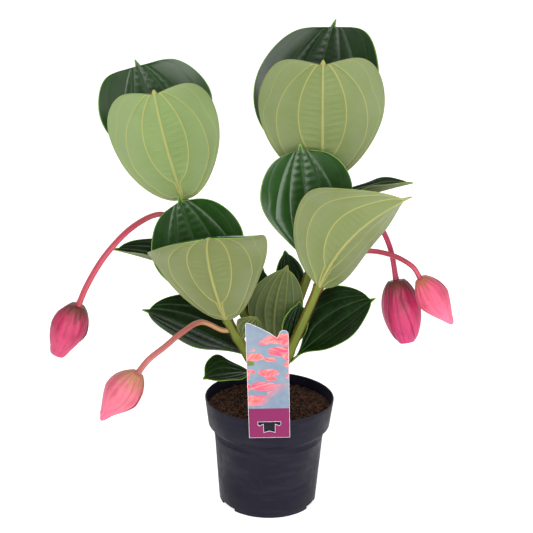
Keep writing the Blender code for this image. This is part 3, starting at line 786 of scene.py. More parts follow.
def closed_sheet(upper: np.ndarray, lower: np.ndarray) -> tuple[np.ndarray, list, np.ndarray]:
    """A thin closed solid between two grids of the same size.

    Args:
        upper: Rows by columns of points on the outer side.
        lower: The same on the inner side.

    Returns:
        The points, the faces, and for each face 0 for upper, 1 for lower and 2 for edge.
    """
    rows, columns = upper.shape[:2]
    top = np.arange(rows * columns).reshape(rows, columns)
    low = top + rows * columns
    a, b, c, d = top[:-1, :-1], top[:-1, 1:], top[1:, 1:], top[1:, :-1]
    upper_faces = np.stack([a, b, c, d], -1).reshape(-1, 4)
    lower_faces = upper_faces[:, ::-1] + rows * columns
    strips = [
        np.stack([top[:-1, 0], top[1:, 0], low[1:, 0], low[:-1, 0]], -1),
        np.stack([low[:-1, -1], low[1:, -1], top[1:, -1], top[:-1, -1]], -1),
        np.stack([low[0, :-1], low[0, 1:], top[0, 1:], top[0, :-1]], -1),
        np.stack([top[-1, :-1], top[-1, 1:], low[-1, 1:], low[-1, :-1]], -1),
    ]
    edges = np.concatenate(strips)
    faces = np.concatenate([upper_faces, lower_faces, edges])
    kinds = np.concatenate([np.zeros(len(upper_faces)), np.ones(len(lower_faces)), np.full(len(edges), 2)])
    points = np.concatenate([upper.reshape(-1, 3), lower.reshape(-1, 3)])
    return points, faces.tolist(), kinds.astype(np.int32)


def ringed_solid(rings: np.ndarray) -> tuple[np.ndarray, list]:
    """A closed solid from rings of points, with a flat cap at each end.

    Args:
        rings: Rings by points around, each ring turning the same way.

    Returns:
        The points and the faces.
    """
    count, around = rings.shape[:2]
    grid = np.arange(count * around).reshape(count, around)
    after = np.roll(grid, -1, axis=1)
    faces = np.stack([grid[:-1], after[:-1], after[1:], grid[1:]], -1).reshape(-1, 4).tolist()
    faces.append(grid[0][::-1].tolist())
    faces.append(grid[-1].tolist())
    return rings.reshape(-1, 3), faces


def smooth_path(points: tuple, steps: int) -> np.ndarray:
    """Points of a smooth curve through the given ones.

    Args:
        points: The places that it passes.
        steps: How many stretches it has between each two.

    Returns:
        The curve's points.
    """
    given = [np.array(point, float) for point in points]
    ends = [2 * given[0] - given[1], *given, 2 * given[-1] - given[-2]]
    path = []
    for before, start, end, after in zip(ends, ends[1:], ends[2:], ends[3:]):
        for step in range(steps):
            t = step / steps
            path.append(
                0.5
                * (
                    2 * start
                    + (end - before) * t
                    + (2 * before - 5 * start + 4 * end - after) * t**2
                    + (3 * start - before - 3 * end + after) * t**3
                )
            )
    path.append(given[-1])
    return np.array(path)


def squarish(sides: int, sharpness: float, turn: float) -> tuple[np.ndarray, np.ndarray]:
    """The section of a limb with four blunt angles.

    Args:
        sides: How many points it has.
        sharpness: 2 for a circle, and nearer 1 for a square.
        turn: Where its first angle points, in radians.

    Returns:
        The section's points for a reach of 1, and how near an angle each is from 0 to 1.
    """
    angle = 2 * math.pi * np.arange(sides) / sides
    reach = (np.abs(np.cos(angle)) ** sharpness + np.abs(np.sin(angle)) ** sharpness) ** (-1 / sharpness)
    points = np.stack([reach * np.cos(angle + turn), reach * np.sin(angle + turn)], -1)
    return points, np.abs(np.cos(2 * angle))


def limb(path: np.ndarray, radii: np.ndarray, section: tuple[np.ndarray, np.ndarray]) -> tuple:
    """A solid limb along a path.

    Args:
        path: Its centre line.
        radii: Its reach at each point.
        section: What squarish gives.

    Returns:
        The points, the faces and the attributes section and limb.
    """
    ahead = np.gradient(path, axis=0)
    ahead /= np.linalg.norm(ahead, axis=1, keepdims=True)
    side = np.zeros_like(path)
    side[0] = np.cross(ahead[0], (0.0, 1.0, 0.0))
    for k in range(len(path)):
        start = side[max(0, k - 1)]
        side[k] = start - ahead[k] * (start @ ahead[k])
        side[k] /= np.linalg.norm(side[k])
    other = np.cross(ahead, side)
    shape, near = section
    reach = side[:, None, :] * shape[None, :, :1] + other[:, None, :] * shape[None, :, 1:]
    rings = path[:, None, :] + radii[:, None, None] * reach
    points, faces = ringed_solid(rings)
    run = np.concatenate([[0.0], np.cumsum(np.linalg.norm(np.diff(path, axis=0), axis=1))])
    count, around = rings.shape[:2]
    closeness = np.tile(near, count)
    share = np.repeat(run / run[-1], around)
    turn = np.tile(np.arange(around) / around, count)
    section_values = np.stack([closeness, share, np.zeros_like(share)], -1)
    limb_values = np.stack([turn, np.repeat(run / MM, around), np.zeros_like(share)], -1)
    return points, faces, section_values, limb_values


def block(low: Point, high: Point) -> tuple[np.ndarray, list]:
    """A box between two corners.

    Args:
        low: Its lowest corner.
        high: Its highest corner.

    Returns:
        The points and the faces.
    """
    points = np.array(list(product(*zip(low, high))))
    return points, [(0, 1, 3, 2), (4, 6, 7, 5), (0, 4, 5, 1), (2, 3, 7, 6), (0, 2, 6, 4), (1, 5, 7, 3)]


def bell(distance: np.ndarray, width: object) -> np.ndarray:
    """A smooth hump of height 1 round zero."""
    return np.exp(-((distance / width) ** 2))


# Stems


FORK = (-0.002, 0.004, 0.152)
STEMS: dict[str, tuple[Point, ...]] = {
    "left_front": ((-0.018, 0.000, 0.180), (-0.033, -0.002, 0.208), (-0.061, 0.000, 0.257)),
    "left_back": (
        (-0.010, 0.022, 0.184),
        (-0.024, 0.034, 0.222),
        (-0.066, 0.050, 0.298),
        (-0.102, 0.054, 0.358),
        (-0.120, 0.050, 0.405),
    ),
    "right_front": (
        (0.012, 0.001, 0.180),
        (0.026, 0.000, 0.210),
        (0.050, 0.000, 0.270),
        (0.062, 0.000, 0.304),
    ),
    "right_back": (
        (0.006, 0.022, 0.184),
        (0.024, 0.038, 0.230),
        (0.052, 0.052, 0.310),
        (0.062, 0.052, 0.370),
        (0.063, 0.050, 0.433),
    ),
}
STEM_RADIUS = 0.0070
TRUNK_RADIUS = 0.0085


def stem_radius(height: float) -> float:
    """Stems grow slimmer with height."""
    return STEM_RADIUS * (1.0 - 0.9 * max(0.0, height - 0.16))


def beside_stem(stem: str, height: float, heading: float, clear: float) -> np.ndarray:
    """A point beside a stem.

    Args:
        stem: The stem's name.
        height: The point's height.
        heading: The side that it is on, in degrees.
        clear: Its gap from the stem's angle.

    Returns:
        The point.
    """
    path = smooth_path((FORK, *STEMS[stem]), 3)
    centre = path[-1]
    for lower, upper in zip(path, path[1:]):
        if lower[2] <= height <= upper[2]:
            centre = lower + (upper - lower) * (height - lower[2]) / (upper[2] - lower[2])
            break
    out = stem_radius(height) + clear
    turn = math.radians(heading)
    return np.array((centre[0] + out * math.cos(turn), centre[1] + out * math.sin(turn), height))


@dataclass
class PlantAxis:
    """The short trunk and the four stems that it forks into."""

    joints: dict[str, list[float]]
    swell: float = 0.0016
    swell_reach: float = 0.0050
    end_taper: float = 0.55
    end_reach: float = 0.004
    fullness: float = 1.12
    foot: float = 0.106
    finish: LimbFinish = LimbFinish(name="stem_skin", roughness=0.46, specular=0.25)

    def radii(self, stem: str, path: np.ndarray) -> np.ndarray:
        """The stem's reach along its path, with a swelling where each pair of leaves stands.

        Args:
            stem: The stem's name.
            path: Its centre line.

        Returns:
            One radius a point.
        """
        height = path[:, 2]
        radius = np.array([stem_radius(z) for z in height]) * self.fullness
        for joint in self.joints[stem]:
            radius += self.swell * bell(height - joint, self.swell_reach)
        radius *= 1.0 - self.end_taper * bell(height - height[-1], self.end_reach)
        return radius

    def build(self) -> None:
        """Builds the trunk and the stems as one piece."""
        parts = []
        trunk = smooth_path(((FORK[0], FORK[1], self.foot), FORK, (FORK[0], FORK[1], FORK[2] + 0.006)), 10)
        width = TRUNK_RADIUS * (1.0 - 0.3 * bell(trunk[:, 2] - trunk[-1, 2], 0.006))
        parts.append(limb(trunk, width, squarish(32, 1.8, 0.3)))
        for stem in STEMS:
            path = smooth_path((FORK, *STEMS[stem]), 14)
            parts.append(limb(path, self.radii(stem, path), squarish(32, 1.35, math.pi / 4)))
        points, faces, sections, limbs, start = [], [], [], [], 0
        for place, loops, section, run in parts:
            points.append(place)
            faces += [[start + k for k in loop] for loop in loops]
            sections.append(section)
            limbs.append(run)
            start += len(place)
        attributes = {"section": np.concatenate(sections), "limb": np.concatenate(limbs)}
        finishes = [self.finish.material()]
        piece = add_piece("stem_axis", np.concatenate(points), faces, finishes, None, attributes)
        settle(piece, "stem")


# Leaves


@dataclass(frozen=True)
class Vein:
    """One pair of veins that leave the midrib, arch along the blade and meet again at its tip."""

    line: float
    start: float
    least: float
    most: float
    weight: float


VEINS = (
    Vein(line=0.36, start=0.14, least=0.10, most=0.50, weight=1.0),
    Vein(line=0.70, start=0.03, least=0.34, most=0.80, weight=0.85),
    Vein(line=0.92, start=0.00, least=0.80, most=0.93, weight=0.45),
)


@dataclass(frozen=True)
class Leaf:
    """One leaf: where it grows, how it bends, how young it is (which also sets the shade painted on its
    underside) and how olive it is.
    """

    name: str
    stem: str
    height: float
    heading: float
    rise: tuple[float, float]
    length: float
    width: float
    sweep: float = 0.0
    lean: float = 0.0
    roll: tuple[float, float] = (0.0, 0.0)
    fold: float = 8.0
    cup: tuple[float, float, float] = (30.0, 20.0, 20.0)
    widest: float = 0.56
    blunt: tuple[float, float] = (0.8, 0.6)
    shoulder: float = 0.0
    lobe: float = 0.0
    bow: float = 0.0
    wave: float = 0.002
    waves: float = 2.0
    phase: float = 0.0
    ridge: float = 0.0016
    bend: float = 1.0
    small: bool = False
    # How young the leaf is, from 0 to 1; low values also paint shade on its underside.
    youth_and_shade: float = 0.5
    olive: float = 0.3


LEAVES = (
    Leaf("leaf_left_top_front", "left_back", 0.398, -88, (78, 52), 0.168, 0.150, lean=12, cup=(-6, 22, 30),
         widest=0.60, blunt=(0.56, 0.26), lobe=0.030, bow=0.004, olive=0.1),
    Leaf("leaf_left_top_back", "left_back", 0.392, 112, (46, 84), 0.198, 0.156, lean=-14, fold=2,
         cup=(-10, 14, 10), widest=0.70, blunt=(1.2, 0.20), shoulder=0.006, bend=0.6, bow=0.008, youth_and_shade=0.7),
    Leaf("leaf_right_top_front", "right_back", 0.426, -90, (78, 52), 0.177, 0.170, lean=3, cup=(0, 22, 30),
         widest=0.58, blunt=(0.60, 0.24), lobe=0.022, olive=0.6),
    Leaf("leaf_right_top_back", "right_back", 0.420, 70, (50, 92), 0.216, 0.176, lean=-2, fold=2,
         cup=(-10, 14, 10), widest=0.57, blunt=(0.7, 0.26), shoulder=0.008, bend=0.6, bow=-0.022, youth_and_shade=0.35),
    Leaf("leaf_left_mid_front", "left_front", 0.252, -94, (78, 20), 0.172, 0.150, lean=4, roll=(0, -6),
         cup=(10, 8, -30), widest=0.64, blunt=(0.42, 0.30), lobe=0.020, bend=1.4, bow=0.012, wave=0.0035,
         olive=0.85),
    Leaf("leaf_left_mid_back", "left_front", 0.250, 105, (58, 98), 0.172, 0.126, lean=-20, fold=4,
         cup=(-20, 18, 15), widest=0.64, blunt=(0.9, 0.32), bend=0.7, youth_and_shade=0.85),
    Leaf("leaf_right_mid_front", "right_front", 0.298, -84, (80, 44), 0.188, 0.154, lean=-34, roll=(-10, -34),
         fold=28, cup=(0, 10, 0), widest=0.46, blunt=(0.50, 0.66), bow=0.014, wave=0.003, olive=0.7),
    Leaf("leaf_right_mid_back", "right_front", 0.298, 98, (62, 100), 0.184, 0.124, lean=-8, fold=4,
         cup=(-20, 18, 15), widest=0.70, blunt=(0.9, 0.30), bend=0.7, youth_and_shade=0.85),
    Leaf("leaf_left_side_upper", "left_back", 0.280, 180, (24, 12), 0.156, 0.078, roll=(0, 12), fold=24,
         cup=(10, 10, 10), widest=0.62, blunt=(1.4, 0.6), youth_and_shade=0.1),
    Leaf("leaf_left_side_lower", "left_back", 0.186, 180, (32, 16), 0.165, 0.105, roll=(20, 26), widest=0.60,
         blunt=(1.2, 0.6), youth_and_shade=0.1),
    Leaf("leaf_left_low", "left_front", 0.178, 218, (18, -4), 0.078, 0.062, roll=(0, 24), small=True,
         youth_and_shade=0.1),
    Leaf("leaf_right_side_upper", "right_back", 0.388, 0, (22, 14), 0.116, 0.052, fold=25, cup=(10, 10, 10),
         youth_and_shade=0.1),
    Leaf("leaf_right_side_lower", "right_front", 0.194, -6, (46, 36), 0.140, 0.108, roll=(-30, -30),
         widest=0.62, blunt=(1.5, 0.5), youth_and_shade=0.1),
    Leaf("leaf_centre_left", "left_back", 0.236, 80, (70, 84), 0.072, 0.044, lean=12, small=True, youth_and_shade=0.1),
    Leaf("leaf_centre_back", "right_back", 0.255, 100, (70, 84), 0.074, 0.040, lean=-10, small=True,
         youth_and_shade=0.1),
    Leaf("leaf_centre_olive", "right_back", 0.195, -95, (92, 84), 0.126, 0.072, lean=-5, fold=4,
         cup=(0, -8, 0), bow=0.010, wave=0.001, youth_and_shade=0.05, olive=0.9),
    Leaf("leaf_centre_dark", "right_front", 0.206, 96, (90, 88), 0.068, 0.036, lean=12, wave=0.0005,
         small=True, youth_and_shade=0.0),
    Leaf("leaf_centre_low", "left_front", 0.226, -36, (64, 50), 0.040, 0.034, roll=(30, 50), small=True,
         youth_and_shade=0.1, olive=0.8),
)


@dataclass
class Blade:
    """Builds one leaf's closed blade, with sunken veins above and raised ones below."""

    leaf: Leaf
    thickness: float = 0.0007
    leaf_start: float = 0.0018
    base_width: float = 0.009
    tip_width: float = 0.0016
    drip_start: float = 0.95
    drip_width: float = 0.008
    lobe_gain: float = 1.6
    rib_steps: int = 80
    foot_reach: tuple[float, ...] = (0.0055, 0.0030, 0.0012)
    foot_width: tuple[float, ...] = (0.55, 0.80, 0.95)
    groove: float = 0.00040
    rib: float = 0.00110
    rib_width: tuple[float, float] = (0.0011, 0.0012)
    groove_width: float = 0.0013
    vein_groove_width: float = 0.0010
    vein_rib_width: float = 0.0008
    quilt: float = 0.00030
    quilt_pitch: float = 0.0094
    arch_lead: float = 0.80
    arch_power: float = 0.75
    quilt_drift: float = 0.0012
    quilt_drift_pitch: float = 0.013
    patch_pitch: tuple[float, float] = (0.021, 0.034)

    def columns(self) -> np.ndarray:
        """Lines along the blade from edge to edge, close together at each vein."""
        even = 13 if self.leaf.small else 19
        half = list(np.linspace(0.0, 1.0, even)) + [0.014, 0.032, 0.978, 0.992]
        for vein in VEINS:
            half += [vein.line + shift for shift in (-0.034, -0.015, 0.0, 0.015, 0.034)]
        kept = [0.0]
        for value in sorted(half):
            if value - kept[-1] > 0.007:
                kept.append(value)
        kept[-1] = 1.0
        return np.array([-v for v in reversed(kept[1:])] + kept)

    def rows(self) -> np.ndarray:
        """Lines across the blade from its foot to its tip."""
        count = 56 if self.leaf.small else 132
        even = np.linspace(0.0, 1.0, count)
        return np.unique(np.concatenate([even, [0.004, 0.955, 0.965, 0.975, 0.985, 0.993]]))

    def bent_strip(
        self, distance: np.ndarray, start: float, bend: np.ndarray
    ) -> tuple[np.ndarray, np.ndarray]:
        """A strip that starts at one slope and bends evenly.

        Args:
            distance: The share of the strip.
            start: Its first slope, in radians.
            bend: How much it turns, in radians.

        Returns:
            How far across and how far up it reaches.
        """
        bend = np.where(np.abs(bend) < 1e-4, 1e-4, bend)
        end = start + bend * distance
        return (np.sin(end) - np.sin(start)) / bend, (np.cos(start) - np.cos(end)) / bend

    def spread(self, at: np.ndarray, half: np.ndarray) -> np.ndarray:
        """Where each pair of veins runs.

        Args:
            at: The rows' shares of the length.
            half: Each row's half width.

        Returns:
            For each row and pair, its share of the half width.
        """
        shares = []
        for vein in VEINS:
            climb = np.clip((at - vein.start) / (1.0 - vein.start), 0.0, 1.0)
            arch = np.sin(np.pi * climb ** self.arch_lead) ** self.arch_power
            share = vein.line * arch * 0.5 * self.leaf.width / half[:, 0]
            shares.append(np.clip(share, vein.least, vein.most))
        return np.stack(shares, -1)

    def across(self, columns: np.ndarray, shares: np.ndarray) -> np.ndarray:
        """Each point's share of the half width, so that the mesh lines follow the veins.

        Args:
            columns: The columns' even places.
            shares: What spread gives.

        Returns:
            Rows by columns of shares, from -1 to 1.
        """
        knots = (0.0, *(vein.line for vein in VEINS), 1.0)
        rows = [np.interp(np.abs(columns), knots, (0.0, *row, 1.0)) for row in shares]
        return np.array(rows) * np.sign(columns)[None, :]

    def pillow(self, v: np.ndarray) -> np.ndarray:
        """How far the blade stands up between its main veins."""
        lines = (0.0, VEINS[0].line, VEINS[1].line, 1.0)
        raised = np.zeros_like(v)
        for near, far in zip(lines, lines[1:]):
            share = np.clip((v - near) / (far - near), 0.0, 1.0)
            raised = raised + np.sin(np.pi * share) * (1.0 if far < 1.0 else 0.6)
        return raised

    def middle(self, at: np.ndarray, columns: np.ndarray) -> tuple[np.ndarray, ...]:
        """The blade's middle surface.

        Args:
            at: The rows' shares of the length.
            columns: The columns' even places from -1 to 1.

        Returns:
            Rows by columns of points, each row's half width, each row's vein shares, and rows by
            columns of shares of the half width.
        """
        leaf = self.leaf
        fine = np.linspace(0.0, 1.0, self.rib_steps + 1)
        pitch = np.radians(leaf.rise[0] + (leaf.rise[1] - leaf.rise[0]) * fine**leaf.bend)
        turn = np.radians(leaf.heading + leaf.sweep * fine)
        along = np.stack([np.cos(turn) * np.cos(pitch), np.sin(turn) * np.cos(pitch), np.sin(pitch)], -1)
        steps = 0.5 * (along[1:] + along[:-1]) * leaf.length / self.rib_steps
        root = beside_stem(leaf.stem, leaf.height, leaf.heading, self.leaf_start)
        midrib = root + np.concatenate([np.zeros((1, 3)), np.cumsum(steps, axis=0)])
        u = at[:, None]
        centre, ahead = (
            np.stack([np.interp(at, fine, values[:, k]) for k in range(3)], -1) for values in (midrib, along)
        )
        ahead = ahead / np.linalg.norm(ahead, axis=1, keepdims=True)
        heading = np.interp(at, fine, turn)
        side = np.stack([np.sin(heading), -np.cos(heading), np.zeros_like(heading)], -1)
        face = np.cross(side, ahead)
        roll = np.radians(leaf.roll[0] + (leaf.roll[1] - leaf.roll[0]) * at)[:, None]
        side, face = side * np.cos(roll) + face * np.sin(roll), face * np.cos(roll) - side * np.sin(roll)
        power = math.log(0.5) / math.log(leaf.widest)
        outline = np.sin(np.pi * np.clip(at / self.drip_start, 0.0, 1.0) ** power).clip(0.0, 1.0)
        outline = outline ** (leaf.blunt[0] + (leaf.blunt[1] - leaf.blunt[0]) * at)
        taper = np.clip((1.0 - at) / (1.0 - self.drip_start), 0.0, 1.0)
        drip = (self.drip_width - self.tip_width) * taper + self.tip_width
        foot = self.base_width * np.exp(-at / 0.05)
        half = 0.5 * np.maximum(leaf.width * outline, np.maximum(drip * (at > 0.5), foot))[:, None]
        shares = self.spread(at, half)
        v = self.across(columns, shares)
        shares_of_cup = ((1 - at) * (1 - 2 * at), 4 * at * (1 - at), at * (2 * at - 1))
        bend = np.radians(sum(angle * part for angle, part in zip(leaf.cup, shares_of_cup)))[:, None]
        out, up = self.bent_strip(np.abs(v), math.radians(leaf.fold), bend)
        out, up = out * half * np.sign(v), up * half
        narrowing = 2 * half / leaf.width
        ripple = np.sin(2 * np.pi * (leaf.waves * u + leaf.phase + 0.23 * np.sign(v)))
        ridges = leaf.ridge * self.pillow(np.abs(columns))[None, :]
        up = up + narrowing * (leaf.wave * np.abs(v) ** 3 * ripple + ridges)
        back = v**2 * narrowing * (leaf.shoulder * u**3 - leaf.lobe * self.lobe_gain * (1 - u) ** 4)
        places = (
            centre[:, None, :]
            + side[:, None, :] * (out + leaf.bow * 4 * u * (1 - u))[..., None]
            + face[:, None, :] * up[..., None]
            + ahead[:, None, :] * back[..., None]
        )
        axis = Vector((math.cos(math.radians(leaf.heading)), math.sin(math.radians(leaf.heading)), 0.0))
        lean = np.array(Matrix.Rotation(math.radians(leaf.lean), 3, axis))
        return (places - root) @ lean.T + root, half, shares, v

    def quilting(self, at: np.ndarray, columns: np.ndarray, half: np.ndarray, seed: int) -> np.ndarray:
        """How far the blade puckers between its cross veins.

        Args:
            at: The rows' shares of the length.
            columns: The columns' shares of the half width.
            half: Each row's half width.
            seed: Which leaf this is, so that each puckers in its own way.

        Returns:
            Rows by columns of heights.
        """
        draw = np.random.default_rng(seed)
        shift = draw.uniform(0.0, 1.0, 4)
        v = columns[None, :]
        run = at[:, None] * self.leaf.length
        long_wave = np.sin(run / self.patch_pitch[0] + 6.0 * shift[0] + 2.2 * v)
        patch = 0.5 + 0.5 * long_wave * np.cos(run / self.patch_pitch[1] + 5.0 * shift[1] - 3.0 * v)
        inner, second = VEINS[0].line, VEINS[1].line
        cell = np.sin(np.pi * np.clip(np.abs(v) / inner, 0.0, 1.0))
        outer = np.sin(np.pi * np.clip((np.abs(v) - inner) / (second - inner), 0.0, 1.0))
        uneven = self.quilt_drift * np.sin(run / self.quilt_drift_pitch + 3.0 * shift[2])
        arch = run - 0.10 * np.abs(v) * half - uneven
        wave = np.sin(2 * np.pi * arch / self.quilt_pitch + np.sign(v) * 3.0 * shift[3])
        fade = np.clip(at / 0.2, 0.0, 1.0)[:, None] * np.clip((1.0 - at) / 0.06, 0.0, 1.0)[:, None]
        return self.quilt * wave * (cell + 0.45 * outer) * (0.35 + 0.65 * patch) * fade

    def relief(
        self, at: np.ndarray, v: np.ndarray, half: np.ndarray, shares: np.ndarray
    ) -> tuple[np.ndarray, np.ndarray]:
        """The veins' grooves above and ribs below.

        Args:
            at: The rows' shares of the length.
            v: Rows by columns of shares of the half width.
            half: Each row's half width.
            shares: Each row's vein shares.

        Returns:
            Rows by columns of depths and of heights.
        """
        side = np.abs(v) * half
        slim = np.clip(half / 0.020, 0.15, 1.0)
        thick = (1.0 - 0.62 * at)[:, None]
        groove = self.groove * bell(side, self.groove_width) * slim
        rib = self.rib * thick * bell(side, self.rib_width[0] + self.rib_width[1] * thick)
        for vein, share in zip(VEINS, shares.T):
            away = side - share[:, None] * half
            groove = groove + 0.75 * vein.weight * self.groove * bell(away, self.vein_groove_width) * slim
            rib = rib + 0.50 * vein.weight * self.rib * thick * bell(away, self.vein_rib_width) * slim
        return groove, rib

    def build(self, finishes: list[bpy.types.Material], seed: int) -> None:
        """Builds the blade and dresses it.

        Args:
            finishes: The upper and the under finish.
            seed: Which leaf this is.
        """
        leaf, at, columns = self.leaf, self.rows(), self.columns()
        places, half, shares, v = self.middle(at, columns)
        ahead, across = np.gradient(places, axis=0), np.gradient(places, axis=1)
        normal = np.cross(across, ahead)
        normal /= np.maximum(np.linalg.norm(normal, axis=-1, keepdims=True), 1e-9)
        pucker = self.quilting(at, columns, half, seed)
        groove, rib = self.relief(at, v, half, shares)
        edge = np.sqrt(np.clip(1.0 - np.abs(columns[None, :]) ** 40, 0.0, 1.0)) * 0.5 + 0.22
        upper = places + normal * (pucker + self.thickness * edge - groove)[..., None]
        lower = places + normal * (pucker - self.thickness * edge - rib)[..., None]
        turn = math.radians(leaf.heading)
        inward = -np.array((math.cos(turn), math.sin(turn), 0.0))
        feet = []
        for grid in (upper, lower):
            core = grid[0].mean(axis=0)
            pull = zip(self.foot_reach, self.foot_width)
            foot = [core + (grid[0] - core) * width + inward * reach for reach, width in pull]
            feet.append(np.concatenate([np.array(foot), grid]))
        points, faces, kinds = closed_sheet(*feet)
        extra = len(self.foot_reach)
        share = np.concatenate([np.zeros(extra), at])
        wide = np.concatenate([np.repeat(half[:1], extra, axis=0), half])
        v = np.concatenate([np.repeat(v[:1], extra, axis=0), v])
        lines = np.concatenate([np.repeat(shares[:1], extra, axis=0), shares]) * wide / MM
        rows = share[:, None]
        values = {
            "blade": (v * wide / MM, rows, wide / MM),
            "growth": (rows * leaf.length / MM, leaf.olive, leaf.youth_and_shade),
            "lines": tuple(line[:, None] for line in lines.T),
        }
        attributes = {
            name: np.concatenate([np.stack(np.broadcast_arrays(*parts, v)[:3], -1).reshape(-1, 3)] * 2)
            for name, parts in values.items()
        }
        kinds = np.where(kinds == 2, 0, kinds)
        piece = add_piece(leaf.name + "_blade", points, faces, finishes, kinds, attributes)
        settle(piece, leaf.name)


@dataclass
class Foliage:
    """All the leaves, which share two finishes."""

    leaves: tuple[Leaf, ...] = LEAVES
    upper: UpperSide = UpperSide(
        name="leaf_upper_side", roughness=0.36, specular=0.40, coat=0.60, coat_roughness=0.26
    )
    under: UnderSide = UnderSide(name="leaf_under_side", roughness=0.50, specular=0.30)

    def joints(self) -> dict[str, list[float]]:
        """The heights at which leaves stand on each stem.

        Returns:
            Heights by stem name.
        """
        found: dict[str, list[float]] = {stem: [] for stem in STEMS}
        for leaf in self.leaves:
            if all(abs(leaf.height - height) > 0.010 for height in found[leaf.stem]):
                found[leaf.stem].append(leaf.height)
        return found

    def build(self) -> None:
        """Builds every leaf."""
        finishes = [self.upper.material(), self.under.material()]
        for index, leaf in enumerate(self.leaves):
            Blade(leaf).build(finishes, index)


# Flowers


@dataclass(frozen=True)
class Flower:
    """One stalk and its closed bud."""

    name: str
    stem: str
    height: float
    heading: float
    path: tuple[Point, ...]
    tip: Point
    length: float
    radius: float
    turn: float
    bract: BractFinish
    stalk: LimbFinish
    blunt: bool = False
    taper: float = 0.0
    hook: float = 0.0


FLOWERS = (
    Flower(
        "left_upper", "left_back", 0.366, 200,
        ((-0.145, 0.014, 0.384), (-0.176, -0.022, 0.374), (-0.205, -0.046, 0.345), (-0.226, -0.055, 0.311)),
        (-0.267, -0.055, 0.218), 0.070, 0.0210, 20.0,
        BractFinish("bract_left_upper", 0.45, pink=rgb(0.470, 0.036, 0.105), tip=rgb(0.560, 0.060, 0.155),
                    neck=rgb(0.085, 0.034, 0.014), edge=rgb(0.150, 0.010, 0.030)),
        LimbFinish("stalk_left_upper_skin", 0.45, 0.35, face=rgb(0.480, 0.070, 0.100),
                   angle=rgb(0.330, 0.030, 0.050), base=rgb(0.560, 0.170, 0.190)),
        blunt=True, taper=0.16,
    ),
    Flower(
        "left_lower", "left_front", 0.236, 190,
        ((-0.090, -0.012, 0.249), (-0.112, -0.046, 0.246), (-0.131, -0.068, 0.235), (-0.150, -0.080, 0.222)),
        (-0.209, -0.085, 0.144), 0.076, 0.0215, 50.0,
        BractFinish("bract_left_lower", 0.45, pink=rgb(0.660, 0.150, 0.210), tip=rgb(0.740, 0.140, 0.240),
                    neck=rgb(0.430, 0.230, 0.110), edge=rgb(0.380, 0.040, 0.070), neck_reach=0.36),
        LimbFinish("stalk_left_lower_skin", 0.45, 0.3, face=rgb(0.420, 0.150, 0.125),
                   angle=rgb(0.420, 0.060, 0.070), base=rgb(0.420, 0.300, 0.110)),
        taper=0.30, hook=0.002,
    ),
    Flower(
        "right_inner", "right_back", 0.372, 40,
        ((0.092, 0.078, 0.386), (0.122, 0.082, 0.382), (0.142, 0.068, 0.362), (0.156, 0.052, 0.334)),
        (0.182, 0.030, 0.213), 0.084, 0.0235, 70.0,
        BractFinish("bract_right_inner", 0.42, pink=rgb(0.440, 0.026, 0.100), tip=rgb(0.540, 0.040, 0.150),
                    neck=rgb(0.080, 0.034, 0.014), edge=rgb(0.140, 0.015, 0.030), neck_reach=0.34),
        LimbFinish("stalk_right_inner_skin", 0.45, 0.3, face=rgb(0.430, 0.045, 0.100),
                   angle=rgb(0.250, 0.020, 0.050), base=rgb(0.420, 0.120, 0.150)),
        blunt=True,
    ),
    Flower(
        "right_outer", "right_front", 0.280, 70,
        ((0.082, 0.040, 0.308), (0.117, 0.050, 0.330), (0.152, 0.034, 0.332), (0.179, 0.014, 0.323)),
        (0.235, 0.002, 0.248), 0.074, 0.0190, 10.0,
        BractFinish("bract_right_outer", 0.45, pink=rgb(0.720, 0.095, 0.200), tip=rgb(0.820, 0.170, 0.300),
                    neck=rgb(0.430, 0.130, 0.060), edge=rgb(0.300, 0.050, 0.040), neck_reach=0.26),
        LimbFinish("stalk_right_outer_skin", 0.45, 0.3, face=rgb(0.480, 0.065, 0.105),
                   angle=rgb(0.240, 0.020, 0.030), base=rgb(0.400, 0.100, 0.110)),
        taper=0.26, hook=0.003,
    ),
)


